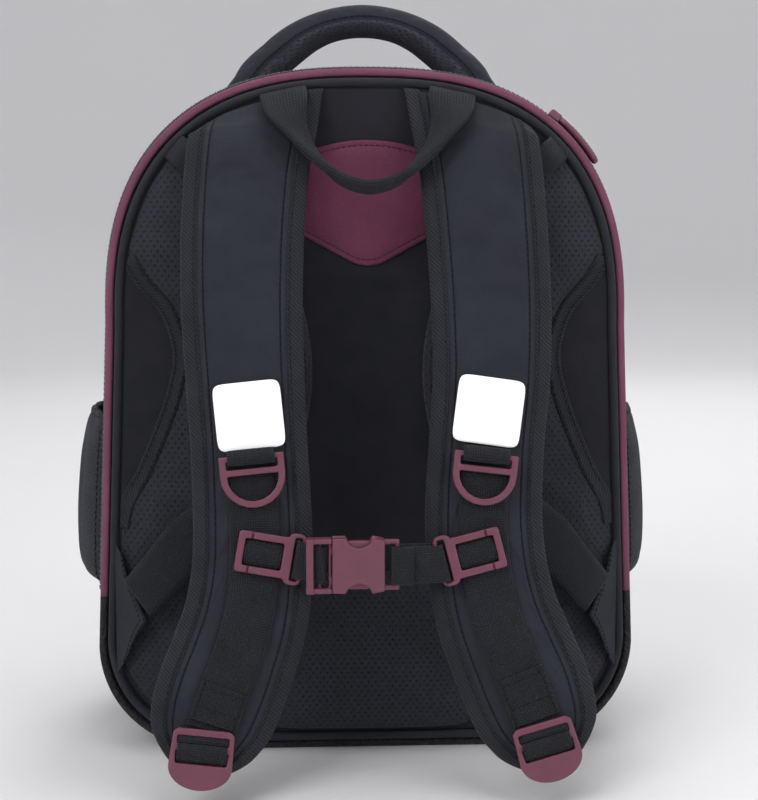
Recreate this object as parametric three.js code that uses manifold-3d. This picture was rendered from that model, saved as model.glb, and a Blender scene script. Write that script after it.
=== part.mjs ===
// School backpack with a stiff arched body, padded shoulder straps and a chest strap.
// Millimetres, +Z up. The origin is on the flat base, and the side worn on the back faces -Y.
import * as THREE from "three";
import { mergeVertices } from "three/addons/utils/BufferGeometryUtils.js";
import Module from "manifold-3d";

const wasm = await Module();
wasm.setup();

// Driving dimensions of the body
const HEIGHT = 376; // base to crown
const FOOT_HALF = 149; // half width where the side walls leave the bottom corners
const SHOULDER_HALF = 142; // half width where the sides meet the arch
const SHOULDER_Z = 238;
const ARCH_POWER = 2.55; // squareness of the arch, 2 being an ellipse
const CORNER_R = 60;
const BACK_Y = -80; // plane of the back panel
const WALL = 3;
const GAP = 0.3; // between pieces that touch
const TRIM_END_Z = 88; // the coloured trim and the zip end here, and the boot begins

// Webbing and padding
const STRAP_WEB = 25;
const CHEST_WEB = 19;
const WEB_THICK = 1.5;
const PAD_HEIGHT = 10;

// Colours and finishes
const finish = (color, roughness) => new THREE.MeshStandardMaterial({ color, roughness, metalness: 0 });
const FABRIC = finish(0x2c2e34, 0.8);
const SMOOTH = finish(0x25262b, 0.7);
const AIR_MESH = finish(0x2b2c31, 0.9);
const TAPE = finish(0x2f3137, 0.85);
const TEXTURED = finish(0x2a2b2f, 0.75);
const PINK_TAPE = finish(0x6a4654, 0.75);
const PINK_PLASTIC = finish(0x6f4756, 0.5);
const PINK_PATCH = finish(0x5a3344, 0.6);
const REFLECTIVE = finish(0xf4f5f6, 0.3);

const point = (x, y, z) => new THREE.Vector3(x, y, z);
const lerp = THREE.MathUtils.lerp;
const pack = new THREE.Group();

function piece(name, geometry, material, parent = pack) {
  const mesh = new THREE.Mesh(geometry, material);
  mesh.name = name;
  parent.add(mesh);
  return mesh;
}

// Solids from rings of points

// Triangles over a ring that need not be flat, all facing the way the ring turns.
function capTriangles(ring) {
  const normal = point(0, 0, 0);
  ring.forEach((p, i) => normal.add(point(0, 0, 0).crossVectors(p, ring[(i + 1) % ring.length])));
  const across = ring[0].clone().sub(ring[Math.floor(ring.length / 2)]);
  across.addScaledVector(normal, -across.dot(normal) / normal.lengthSq()).normalize();
  const up = point(0, 0, 0).crossVectors(normal, across).normalize();
  const flat = ring.map((p) => new THREE.Vector2(p.dot(across), p.dot(up)));
  const turn = ([a, b, c]) =>
    (flat[b].x - flat[a].x) * (flat[c].y - flat[a].y) - (flat[b].y - flat[a].y) * (flat[c].x - flat[a].x);
  return THREE.ShapeUtils.triangulateShape(flat, []).map((t) => (turn(t) < 0 ? [t[0], t[2], t[1]] : t));
}

// Joins rings of equal length into one body. The ends are capped unless the rings close into a loop.
// The last ring runs out to the tip where one is given.
function loft(rings, closed = false, tip = null) {
  const size = rings[0].length;
  const triangles = [];
  const spans = closed ? rings.length : rings.length - 1;
  for (let r = 0; r < spans; r++) {
    const here = r * size;
    const next = ((r + 1) % rings.length) * size;
    for (let k = 0; k < size; k++) {
      const k2 = (k + 1) % size;
      const [a, b, c, d] = [here + k, here + k2, next + k, next + k2];
      // Opposite faces split the same way, so that a thin band keeps its thickness where it twists.
      if (k < size / 2) triangles.push(a, b, c, b, d, c);
      else triangles.push(a, b, d, a, d, c);
    }
  }
  if (!closed) {
    const end = (rings.length - 1) * size;
    capTriangles(rings[0]).forEach(([a, b, c]) => triangles.push(a, c, b));
    const fan = rings[0].map((_, k) => [k, (k + 1) % size, size]);
    const lastCap = tip ? fan : capTriangles(rings[rings.length - 1]);
    lastCap.forEach(([a, b, c]) => triangles.push(end + a, end + b, end + c));
  }
  return facingOut(tip ? [...rings.flat(), tip] : rings.flat(), triangles);
}

function facingOut(points, triangles) {
  let volume = 0;
  for (let i = 0; i < triangles.length; i += 3) {
    const [a, b, c] = [points[triangles[i]], points[triangles[i + 1]], points[triangles[i + 2]]];
    volume += a.dot(point(0, 0, 0).crossVectors(b, c));
  }
  if (volume < 0) triangles.reverse();
  const geometry = new THREE.BufferGeometry().setFromPoints(points);
  geometry.setIndex(triangles);
  return geometry;
}

// A flat piece drawn as seen from the worn side, as thick as depth, from z = 0 outwards.
function plate(outline, depth, holes = []) {
  const shape = new THREE.Shape(outline);
  holes.forEach((hole) => shape.holes.push(new THREE.Path(hole)));
  return new THREE.ExtrudeGeometry(shape, { depth, bevelEnabled: false });
}

const at2 = (x, y) => new THREE.Vector2(x, y);
const rectangle = (x0, y0, x1, y1) => [at2(x0, y0), at2(x1, y0), at2(x1, y1), at2(x0, y1)];

function roundedRectangle(x0, y0, x1, y1, radius, steps = 3) {
  const corners = [
    { x: x1 - radius, y: y0 + radius, from: -90 },
    { x: x1 - radius, y: y1 - radius, from: 0 },
    { x: x0 + radius, y: y1 - radius, from: 90 },
    { x: x0 + radius, y: y0 + radius, from: 180 },
  ];
  return corners.flatMap(({ x, y, from }) => arc(x, y, radius, from, from + 90, steps));
}

function arc(x, y, radius, fromDeg, toDeg, steps) {
  return Array.from({ length: steps + 1 }, (_, i) => {
    const a = THREE.MathUtils.degToRad(lerp(fromDeg, toDeg, i / steps));
    return at2(x + radius * Math.cos(a), y + radius * Math.sin(a));
  });
}

function toManifold(geometry) {
  const bare = geometry.clone();
  bare.deleteAttribute("normal");
  bare.deleteAttribute("uv");
  const merged = mergeVertices(bare, 1e-4);
  return new wasm.Manifold(
    new wasm.Mesh({
      numProp: 3,
      vertProperties: merged.attributes.position.array,
      triVerts: new Uint32Array(merged.index.array),
    }),
  );
}

function fromManifold(body) {
  const mesh = body.getMesh();
  const geometry = new THREE.BufferGeometry();
  geometry.setAttribute("position", new THREE.BufferAttribute(mesh.vertProperties, 3));
  geometry.setIndex(new THREE.BufferAttribute(mesh.triVerts, 1));
  return geometry;
}

const join = (...geometries) => fromManifold(geometries.map(toManifold).reduce((a, b) => a.add(b)));
const cut = (body, ...tools) =>
  fromManifold(tools.map(toManifold).reduce((a, b) => a.subtract(b), toManifold(body)));

// Reads one column of a table at t from 0 to 1, on a smooth curve through its rows.
function column(rows, name, t) {
  const place = THREE.MathUtils.clamp(t, 0, 1) * (rows.length - 1);
  const i = Math.min(Math.floor(place), rows.length - 2);
  const f = place - i;
  const row = (k) => rows[THREE.MathUtils.clamp(k, 0, rows.length - 1)][name];
  const [p0, p1, p2, p3] = [row(i - 1), row(i), row(i + 1), row(i + 2)];
  const [m1, m2] = [(p2 - p0) / 2, (p3 - p1) / 2];
  return (
    (2 * f ** 3 - 3 * f ** 2 + 1) * p1 +
    (f ** 3 - 2 * f ** 2 + f) * m1 +
    (3 * f ** 2 - 2 * f ** 3) * p2 +
    (f ** 3 - f ** 2) * m2
  );
}

// The body's outline, as seen from the worn side

const OUTLINE_STEPS = { base: 3, corner: 7, side: 5, arch: 15 };

function halfOutline() {
  const half = [];
  const cornerX = FOOT_HALF - CORNER_R;
  for (let i = 0; i < OUTLINE_STEPS.base; i++) half.push(at2((cornerX * i) / OUTLINE_STEPS.base, 0));
  half.push(...arc(cornerX, CORNER_R, CORNER_R, -90, 0, OUTLINE_STEPS.corner));
  for (let i = 1; i <= OUTLINE_STEPS.side; i++) {
    const f = i / OUTLINE_STEPS.side;
    half.push(at2(lerp(FOOT_HALF, SHOULDER_HALF, f), lerp(CORNER_R, SHOULDER_Z, f)));
  }
  for (let i = 1; i <= OUTLINE_STEPS.arch; i++) {
    const a = (Math.PI / 2) * (i / OUTLINE_STEPS.arch);
    const x = SHOULDER_HALF * Math.max(Math.cos(a), 0) ** (2 / ARCH_POWER);
    const z = SHOULDER_Z + (HEIGHT - SHOULDER_Z) * Math.sin(a) ** (2 / ARCH_POWER);
    half.push(at2(i === OUTLINE_STEPS.arch ? 0 : x, z));
  }
  return half;
}

const HALF = halfOutline();
const OUTLINE = [...HALF, ...HALF.slice(1, -1).reverse().map((p) => at2(-p.x, p.y))];
const CROWN = HALF.length - 1;

// Outward direction of the outline at each of its points.
const OUTWARD = OUTLINE.map((_, i) => {
  const before = OUTLINE[(i + OUTLINE.length - 1) % OUTLINE.length];
  const after = OUTLINE[(i + 1) % OUTLINE.length];
  const along = after.clone().sub(before).normalize();
  return at2(along.y, -along.x);
});

// A point of the outline drawn in by side, top and bottom, at depth y.
function inset(p, y, side, top = side, bottom = side) {
  return point(p.x * (1 - side / FOOT_HALF), y, bottom + (p.y * (HEIGHT - top - bottom)) / HEIGHT);
}

const bodyRing = ({ y, side, top = side, bottom = side }) =>
  OUTLINE.map((p) => inset(p, y, side, top, bottom));

// The stretch of outline between two places, counted in outline points from the middle of the base.
function stretch(from, to) {
  const places = [from];
  for (let i = Math.floor(from) + 1; i < to; i++) places.push(i);
  places.push(to);
  return places.map((s) => {
    const i = Math.floor(s) % OUTLINE.length;
    const j = (i + 1) % OUTLINE.length;
    const f = s - Math.floor(s);
    const e = OUTWARD[i].clone().lerp(OUTWARD[j], f).normalize();
    return { p: OUTLINE[i].clone().lerp(OUTLINE[j], f), e };
  });
}

// Where the outline's right side passes a height.
function placeAtHeight(z) {
  const i = HALF.findIndex((p) => p.y > z) - 1;
  return i + (z - HALF[i].y) / (HALF[i + 1].y - HALF[i].y);
}

// Sweeps a section along stations of the outline. A section point is drawn in by `in` at depth y.
function alongOutline(stations, section, closed = false) {
  const rings = stations.map(({ p, e }) => {
    const first = section[0].in;
    const base = inset(p, 0, first);
    return section.map((s) => point(base.x + e.x * (first - s.in), s.y, base.z + e.y * (first - s.in)));
  });
  return loft(rings, closed);
}

const wholeOutline = () => OUTLINE.map((p, i) => ({ p, e: OUTWARD[i] }));
const TRIM_START = placeAtHeight(TRIM_END_Z + GAP / 2);
const BOOT_END = placeAtHeight(TRIM_END_Z - GAP / 2);
const upperStretch = () => stretch(TRIM_START, OUTLINE.length - TRIM_START);
const lowerStretch = () => stretch(OUTLINE.length - BOOT_END, OUTLINE.length + BOOT_END);

// Body shell: an open box of stiff fabric whose mouth meets the back panel, with a rounded plain front.
const SHELL_OUT = 2.3; // the boot and the zip lie over the shell by this much
const MOUTH_Y = BACK_Y + 9.3;
const SHELL_SECTIONS = [
  { y: MOUTH_Y, side: 0, bottom: 0 },
  { y: 30, side: 1.2, bottom: 0 },
  { y: 58, side: 3.7, bottom: 0 },
  { y: 72, side: 10, bottom: 5 },
  { y: 79, side: 22, bottom: 17 },
  { y: 82, side: 42, bottom: 37 },
];

function bodyShell() {
  const outer = SHELL_SECTIONS.map(({ y, side, bottom }) =>
    bodyRing({ y, side: side + SHELL_OUT, bottom: bottom + SHELL_OUT }),
  );
  const inner = SHELL_SECTIONS.map(({ y, side, bottom }, i) =>
    bodyRing({
      y: i === 0 ? y : Math.min(y, 82 - WALL) - (i > 2 && i < 5 ? WALL * 0.7 : 0),
      side: side + SHELL_OUT + WALL,
      bottom: bottom + SHELL_OUT + WALL,
    }),
  );
  piece("body_shell", loft([...inner.reverse(), ...outer]), FABRIC);
}

// Boot: textured cover of the base and the foot of the sides.
function baseBoot() {
  const cover = 2;
  const sections = SHELL_SECTIONS.slice(0, 3);
  const rings = lowerStretch().map(({ p }) => [
    ...sections.map(({ y, side: s, bottom }) => inset(p, y, s, s, bottom)),
    ...sections.map(({ y, side: s, bottom }) => inset(p, y, s + cover, s + cover, bottom + cover)).reverse(),
  ]);
  piece("base_boot", loft(rings), TEXTURED);
}

// Back panel: a stepped board, the round piping in its step, and the flat band behind the piping.
const PIPING = { in: 7.8, radius: 2.2 };
const BOARD_FRONT_IN = PIPING.in + PIPING.radius + 2 * GAP;
const BOARD_REAR_IN = 5.5;
const STEP_Y = BACK_Y + PIPING.radius + 2 * GAP;

function backBoard() {
  const sections = [
    { y: BACK_Y, side: BOARD_FRONT_IN },
    { y: STEP_Y, side: BOARD_FRONT_IN },
    { y: STEP_Y, side: BOARD_REAR_IN },
    { y: MOUTH_Y - GAP, side: BOARD_REAR_IN },
  ];
  piece("back_board", loft(sections.map(bodyRing)), SMOOTH);
}

function pipingLoop() {
  const sides = 6;
  const section = arc(0, 0, PIPING.radius, 0, 360 - 360 / sides, sides - 1).map((c) => ({
    in: PIPING.in - c.x,
    y: BACK_Y + c.y,
  }));
  piece("piping", alongOutline(wholeOutline(), section, true), TAPE);
}

// The band's section, with its outer corners taken off.
const BAND = { outer: 0.3, inner: 4.9, back: STEP_Y - 1, front: MOUTH_Y - 2 * GAP, corner: 1.4 };
const BAND_SECTION = [
  { in: BAND.inner, y: BAND.front },
  { in: BAND.inner, y: BAND.back },
  { in: BAND.outer + BAND.corner, y: BAND.back },
  { in: BAND.outer, y: BAND.back + BAND.corner },
  { in: BAND.outer, y: BAND.front - BAND.corner },
  { in: BAND.outer + BAND.corner, y: BAND.front },
];

function edgeBands() {
  piece("trim_band", alongOutline(upperStretch(), BAND_SECTION), PINK_TAPE);
  piece("rim_band", alongOutline(lowerStretch(), BAND_SECTION), TEXTURED);
}

// Zip: a tape over the shell's mouth with the coil raised along its middle, and the slider with its pull.
const ZIP = {
  in: SHELL_OUT - GAP,
  tape: 1,
  coil: 1.6,
  coilHalf: 1.8,
  from: MOUTH_Y + 0.5,
  to: MOUTH_Y + 13.5,
};
const ZIP_MID = (ZIP.from + ZIP.to) / 2;
const COIL_TOP = ZIP.in - ZIP.tape - ZIP.coil;

function zip() {
  const tapeTop = ZIP.in - ZIP.tape;
  const section = [
    { in: ZIP.in, y: ZIP.from },
    { in: tapeTop, y: ZIP.from },
    { in: tapeTop, y: ZIP_MID - ZIP.coilHalf },
    { in: COIL_TOP, y: ZIP_MID - ZIP.coilHalf + 0.5 },
    { in: COIL_TOP, y: ZIP_MID + ZIP.coilHalf - 0.5 },
    { in: tapeTop, y: ZIP_MID + ZIP.coilHalf },
    { in: tapeTop, y: ZIP.to },
    { in: ZIP.in, y: ZIP.to },
  ];
  piece("zip_tape", alongOutline(upperStretch(), section), TAPE);
}

// The slider rides on the coil at the right shoulder, and its pull lies along the coil below it.
const SLIDER = { from: CROWN - 7.05, to: CROWN - 6.55, half: 4.5, high: 4.4 };
const PULL = { from: CROWN - 9.65, to: CROWN - 7.1, half: 5.2, thick: 3.8 };

function zipPull() {
  const block = (half, low, high) => [
    { in: low, y: ZIP_MID - half },
    { in: low, y: ZIP_MID + half },
    { in: high, y: ZIP_MID + half - 1 },
    { in: high, y: ZIP_MID - half + 1 },
  ];
  const seat = COIL_TOP - 2 * GAP;
  const slider = block(SLIDER.half, seat, seat - SLIDER.high);
  piece("zip_slider", alongOutline(stretch(SLIDER.from, SLIDER.to), slider), PINK_PLASTIC);
  const pull = block(PULL.half, seat, seat - PULL.thick);
  piece("zip_pull", alongOutline(stretch(PULL.from, PULL.to), pull), PINK_PLASTIC);
}

// Back padding: a waisted pad at each side and a lumbar pad, standing on the board.
const PAD_BASE_Y = BACK_Y - GAP;
const SIDE_PAD_ROWS = [
  { z: 335, outer: 98.6, inner: 89, high: 0.3 },
  { z: 326, outer: 107, inner: 71, high: 0.75 },
  { z: 310, outer: 117.3, inner: 58, high: 1 },
  { z: 290, outer: 125, inner: 50, high: 1 },
  { z: 276, outer: 128.2, inner: 45, high: 1 },
  { z: 262, outer: 121, inner: 41, high: 1 },
  { z: 246, outer: 108, inner: 37, high: 1 },
  { z: 224, outer: 101.5, inner: 34, high: 1 },
  { z: 203, outer: 104.5, inner: 33.5, high: 1 },
  { z: 180, outer: 112.5, inner: 36, high: 1 },
  { z: 158, outer: 122, inner: 42, high: 1 },
  { z: 138, outer: 132.5, inner: 50, high: 1 },
  { z: 112, outer: 135.4, inner: 60, high: 1 },
  { z: 80, outer: 136.3, inner: 64, high: 1 },
  { z: 54, outer: 134.5, inner: 66, high: 1 },
  { z: 34, outer: 125, inner: 68, high: 0.85 },
  { z: 20, outer: 110, inner: 74, high: 0.4 },
];
// Height of a pad across its width, from its inner edge to its outer edge.
const PAD_PROFILE = [
  { across: 0, high: 0 },
  { across: 0.02, high: 0.5 },
  { across: 0.16, high: 0.92 },
  { across: 0.5, high: 1 },
  { across: 0.84, high: 0.92 },
  { across: 0.98, high: 0.5 },
  { across: 1, high: 0 },
];

// A side pad falls away gently to its outer edge, where it is sewn flat.
const SIDE_PAD_PROFILE = [
  ...PAD_PROFILE.slice(0, 4),
  { across: 0.76, high: 0.84 },
  { across: 0.92, high: 0.44 },
  { across: 1, high: 0.12 },
  { across: 1, high: 0 },
];

function padRing(profile, inner, outer, z, high) {
  const face = (c) => PAD_BASE_Y - PAD_HEIGHT * high * c.high;
  return profile.map((c) => point(lerp(inner, outer, c.across), face(c), z));
}

function sidePad(label, side) {
  const ring = (r) => padRing(SIDE_PAD_PROFILE, side * r.inner, side * r.outer, r.z, r.high);
  const rings = SIDE_PAD_ROWS.map(ring);
  piece(`pad_${label}`, loft(rings), AIR_MESH);
}

const LUMBAR = { half: 58, low: 13, top: 103, corner: 9 };

function lumbarPad() {
  const rings = [];
  const steps = 3;
  const ends = [
    { z: LUMBAR.low + LUMBAR.corner, way: -1 },
    { z: LUMBAR.top - LUMBAR.corner, way: 1 },
  ];
  ends.forEach(({ z, way }) => {
    for (let i = 0; i <= steps; i++) {
      const a = (Math.PI / 2) * ((way < 0 ? steps - i : i) / steps) * 0.97;
      const half = LUMBAR.half - LUMBAR.corner * (1 - Math.cos(a));
      const high = 0.3 + 0.7 * Math.cos(a);
      rings.push(padRing(PAD_PROFILE, -half, half, z + way * LUMBAR.corner * Math.sin(a), high));
    }
  });
  piece("lumbar_pad", loft(rings), AIR_MESH);
}

// Tape along the waist of a side pad, lying on the board and running out at the piping.
const PAD_TAPE = { width: 6.5, thick: 1.8, top: 270, bottom: 136 };

// Half width of the board at a height.
function boardEdge(z) {
  const place = placeAtHeight(((z - BOARD_FRONT_IN) * HEIGHT) / (HEIGHT - 2 * BOARD_FRONT_IN));
  const i = Math.floor(place);
  return lerp(HALF[i].x, HALF[i + 1].x, place - i) * (1 - BOARD_FRONT_IN / FOOT_HALF);
}

function padTape(label, side) {
  const edgeAt = (z) => {
    const i = SIDE_PAD_ROWS.findIndex((r) => r.z < z);
    const [above, below] = [SIDE_PAD_ROWS[i - 1], SIDE_PAD_ROWS[i]];
    return { z, outer: lerp(above.outer, below.outer, (above.z - z) / (above.z - below.z)) };
  };
  const between = SIDE_PAD_ROWS.filter((r) => r.z < PAD_TAPE.top && r.z > PAD_TAPE.bottom);
  const rows = [edgeAt(PAD_TAPE.top), ...between, edgeAt(PAD_TAPE.bottom)];
  const rings = rows.map((r, i) => {
    const before = rows[Math.max(i - 1, 0)];
    const after = rows[Math.min(i + 1, rows.length - 1)];
    const along = at2(after.outer - before.outer, after.z - before.z).normalize();
    const out = at2(-along.y, along.x);
    const near = at2(r.outer, r.z).addScaledVector(out, 2 * GAP);
    const far = at2(r.outer, r.z).addScaledVector(out, PAD_TAPE.width);
    far.x = Math.min(far.x, boardEdge(far.y) - 2 * GAP);
    return [
      point(side * near.x, PAD_BASE_Y, near.y),
      point(side * far.x, PAD_BASE_Y, far.y),
      point(side * far.x, PAD_BASE_Y - PAD_TAPE.thick, far.y),
      point(side * near.x, PAD_BASE_Y - PAD_TAPE.thick, near.y),
    ];
  });
  piece(`pad_tape_${label}`, loft(rings), TAPE);
}

// Label patch on the panel: an arched top and a blunt point below, left bare.
const LABEL = { half: 38, sideTop: 329, crown: 337.5, sideLow: 288, tip: 270, tipHalf: 9, thick: 1.5 };

function labelPatch() {
  const shape = new THREE.Shape();
  shape.moveTo(-LABEL.half, LABEL.sideLow);
  shape.lineTo(-LABEL.tipHalf, LABEL.tip + 2);
  shape.quadraticCurveTo(0, LABEL.tip - 2, LABEL.tipHalf, LABEL.tip + 2);
  shape.lineTo(LABEL.half, LABEL.sideLow);
  shape.lineTo(LABEL.half, LABEL.sideTop);
  shape.quadraticCurveTo(0, 2 * LABEL.crown - LABEL.sideTop, -LABEL.half, LABEL.sideTop);
  const extrusion = { depth: LABEL.thick, bevelEnabled: false, curveSegments: 8 };
  const geometry = new THREE.ExtrudeGeometry(shape, extrusion);
  const mesh = piece("label_patch", geometry, PINK_PATCH);
  mesh.rotation.x = Math.PI / 2;
  mesh.position.y = BACK_Y - GAP;
}

// Side pockets: a bulging wall on each side of the shell, open at its top edge.
const POCKET = { from: -52, to: 42, thick: 2, seat: 0.6 };
const POCKET_ROWS = [
  { z: 186, bulge: 14 },
  { z: 178, bulge: 18 },
  { z: 160, bulge: 22 },
  { z: 135, bulge: 23.5 },
  { z: 112, bulge: 22.5 },
  { z: 98, bulge: 18.5 },
  { z: 92, bulge: 11 },
  { z: 89, bulge: 3 },
];

// Distance of the shell's side wall from the middle plane.
function shellSide(z, y) {
  const f = THREE.MathUtils.clamp((z - CORNER_R) / (SHOULDER_Z - CORNER_R), 0, 1);
  const i = Math.max(SHELL_SECTIONS.findIndex((s) => s.y > y) - 1, 0);
  const [here, next] = SHELL_SECTIONS.slice(i, i + 2);
  const drawn = SHELL_OUT + lerp(here.side, next.side, (y - here.y) / (next.y - here.y));
  return lerp(FOOT_HALF, SHOULDER_HALF, f) * (1 - drawn / FOOT_HALF);
}

function sidePocket(label, side) {
  const steps = 7;
  const wallRing = ({ z, bulge }) => {
    const skin = (depth, trim) =>
      Array.from({ length: steps + 1 }, (_, i) => {
        const y = lerp(POCKET.from + trim, POCKET.to - trim, i / steps);
        const swell = Math.sin((Math.PI * i) / steps) ** 0.55;
        return point(side * (shellSide(z, y) + POCKET.seat + Math.max(depth, 0.2) * swell), y, z);
      });
    return [...skin(bulge, 0), ...skin(bulge - POCKET.thick, POCKET.thick).reverse()];
  };
  piece(`side_pocket_${label}`, loft(POCKET_ROWS.map(wallRing)), AIR_MESH);
}

// Carry handle: a padded arch on the crown, each section running from its inner to its outer edge.
const HANDLE_Y = BACK_Y + 55;
const HANDLE_ROWS = [
  { outerX: 0, outerZ: 414.7, innerX: 0, innerZ: 396.4, deep: 28 },
  { outerX: 16, outerZ: 413, innerX: 8.5, innerZ: 395.8, deep: 28 },
  { outerX: 31, outerZ: 408.6, innerX: 17.5, innerZ: 393.6, deep: 28 },
  { outerX: 45, outerZ: 401.4, innerX: 26, innerZ: 389.4, deep: 28 },
  { outerX: 58, outerZ: 391, innerX: 33.5, innerZ: 384, deep: 28 },
  { outerX: 70, outerZ: 379.5, innerX: 40.5, innerZ: 378.4, deep: 29 },
  { outerX: 83, outerZ: 359.8, innerX: 50, innerZ: 370.4, deep: 32 },
];

function carryHandle() {
  const section = arc(0, 0, 0.5, 0, 324, 9);
  const ring = (r, way) => {
    const [cx, cz] = [(r.outerX + r.innerX) / 2, (r.outerZ + r.innerZ) / 2];
    const [wideX, wideZ] = [r.outerX - r.innerX, r.outerZ - r.innerZ];
    return section.map((s) => point(way * (cx + wideX * s.x), HANDLE_Y + r.deep * s.y, cz + wideZ * s.x));
  };
  const right = HANDLE_ROWS.map((r) => ring(r, 1));
  const left = HANDLE_ROWS.slice(1).map((r) => ring(r, -1));
  piece("carry_handle", loft([...left.reverse(), ...right]), FABRIC);
}

// Ribbons: bands of webbing. The rows give the middle, width, thickness and the way the width runs.
function ribbon(rows, side, steps, mirror = false) {
  const read = (name, t) => column(rows, name, t);
  const middle = (t) => point(side * read("x", t), BACK_Y - read("out", t), read("z", t));
  const ringAt = (t) => {
    const along = middle(Math.min(t + 0.01, 1)).sub(middle(Math.max(t - 0.01, 0))).normalize();
    const wide = point(side * read("wideX", t), -read("wideOut", t), read("wideZ", t));
    wide.addScaledVector(along, -wide.dot(along)).normalize();
    const thick = point(0, 0, 0).crossVectors(along, wide).multiplyScalar(read("thick", t) / 2);
    wide.multiplyScalar(read("width", t) / 2);
    const corner = (a, b) => middle(t).addScaledVector(wide, a).addScaledVector(thick, b);
    return [corner(-1, -1), corner(1, -1), corner(1, 1), corner(-1, 1)];
  };
  const rings = Array.from({ length: steps + 1 }, (_, i) => ringAt(i / steps));
  if (!mirror) return loft(rings);
  const flip = (p) => point(-p.x, p.y, p.z);
  const other = rings.slice(0, -1).map((ring) => ring.map(flip));
  return loft([...rings, ...other.reverse()]);
}

// Haul loop: webbing sewn in at the crown over the straps, folded double where it hangs.
const HAUL_ROWS = [
  { x: 44.5, z: 361, out: 11.2, width: STRAP_WEB, thick: 1.6, wideX: 1, wideOut: 0, wideZ: -0.2 },
  { x: 43, z: 351.5, out: 19.4, width: 22, thick: 2, wideX: 1, wideOut: 0.2, wideZ: -0.2 },
  { x: 38, z: 340.5, out: 25.5, width: 15, thick: 3.4, wideX: 0.85, wideOut: 0.55, wideZ: 0 },
  { x: 29, z: 328, out: 30.3, width: 12.5, thick: 4.6, wideX: 0.5, wideOut: 0.85, wideZ: 0.1 },
  { x: 15.5, z: 317, out: 33, width: 12.5, thick: 5, wideX: 0.18, wideOut: 1, wideZ: 0.3 },
  { x: 0, z: 313, out: 33.6, width: 12.5, thick: 5.2, wideX: 0, wideOut: 1, wideZ: 0.35 },
];

// Shoulder straps: rows follow the middle of each strap, out being its distance from the panel.
// The right one hangs a little nearer to the middle than the left one.
// slant turns the width away from square to the strap, for the end that follows the crown.
const STRAP_ROWS = [
  { left: 58, right: 53.8, z: 354.6, out: 3.8, half: 35.5, thick: 4, slant: -26 },
  { left: 61.5, right: 57, z: 338, out: 15, half: 33.6, thick: 8, slant: -10 },
  { left: 64.3, right: 59.3, z: 318, out: 24, half: 32.6, thick: 10, slant: -1 },
  { left: 66.4, right: 61.2, z: 285, out: 35.5, half: 32, thick: 10.5, slant: 0 },
  { left: 66.7, right: 62.4, z: 250, out: 44.5, half: 31.4, thick: 10.5, slant: 0 },
  { left: 65.2, right: 62, z: 215, out: 51.5, half: 30.6, thick: 10.5, slant: 0 },
  { left: 63.3, right: 59, z: 180, out: 57.5, half: 30, thick: 10.5, slant: 0 },
  { left: 61.8, right: 57, z: 145, out: 63, half: 30.4, thick: 10.5, slant: 0 },
  { left: 61.9, right: 58.6, z: 118, out: 67, half: 30.9, thick: 10.5, slant: 0 },
  { left: 65.2, right: 63.4, z: 94, out: 70.5, half: 31.8, thick: 10.5, slant: 0 },
  { left: 71.5, right: 71, z: 74, out: 74.2, half: 32.5, thick: 10.5, slant: 0 },
  { left: 78.2, right: 78.2, z: 56.5, out: 78, half: 32.8, thick: 10.5, slant: 0 },
  { left: 83.8, right: 83.8, z: 41, out: 81.8, half: 31, thick: 10, slant: 0 },
  { left: 86.9, right: 86.9, z: 30.2, out: 84.4, half: 26, thick: 9.5, slant: 0 },
  { left: 89.4, right: 89.4, z: 21.6, out: 86.4, half: 17, thick: 9, slant: 0 },
  { left: 91, right: 91, z: 15.8, out: 87.7, half: 6, thick: 8.5, slant: 0 },
];
const STRAP_STATIONS = 20;

// Frame of a strap at t from its top, 0, to its end, 1: middle, width, length and outward directions.
function strapFrame(side, t) {
  const read = (name, k) => column(STRAP_ROWS, name, k);
  const hung = side < 0 ? "left" : "right";
  const middle = (k) => point(side * read(hung, k), BACK_Y - read("out", k), read("z", k));
  const along = middle(Math.min(t + 0.005, 1)).sub(middle(Math.max(t - 0.005, 0))).normalize();
  const upright = point(0, 1, 0);
  const wide = point(0, 0, 0).crossVectors(along, upright).normalize(); // towards +X
  wide.applyAxisAngle(upright, -side * THREE.MathUtils.degToRad(read("slant", t)));
  const facing = point(0, 0, 0).crossVectors(along, wide).normalize(); // away from the panel
  return { middle: middle(t), along, wide, facing, half: read("half", t), thick: read("thick", t) };
}

// A place on a strap, across from its middle and high from its mid-plane.
function onStrap(side, t, across, high) {
  const f = strapFrame(side, t);
  return f.middle.addScaledVector(f.wide, across).addScaledVector(f.facing, high);
}

// The place t on a strap that lies at a height.
function strapAtHeight(z) {
  let [low, high] = [0, 1];
  for (let i = 0; i < 40; i++) {
    const mid = (low + high) / 2;
    if (column(STRAP_ROWS, "z", mid) > z) low = mid;
    else high = mid;
  }
  return low;
}

// A line drawn in from the strap's edge stops as far short of the strap's end.
function endOfLine(drawn) {
  const [before, last] = STRAP_ROWS.slice(-2);
  const lastRow = Math.hypot(last.left - before.left, last.z - before.z, last.out - before.out);
  return 1 - drawn / (lastRow * (STRAP_ROWS.length - 1));
}

// A point at a station, drawn in from the strap's edge, at a share of the strap's thickness plus a lift.
function edgePoint(side, station, edge, { drawn, share, lift }) {
  const t = station * endOfLine(drawn);
  const f = strapFrame(side, t);
  const high = share * f.thick + lift;
  return f.middle.addScaledVector(f.wide, edge * (f.half - drawn)).addScaledVector(f.facing, high);
}

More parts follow.
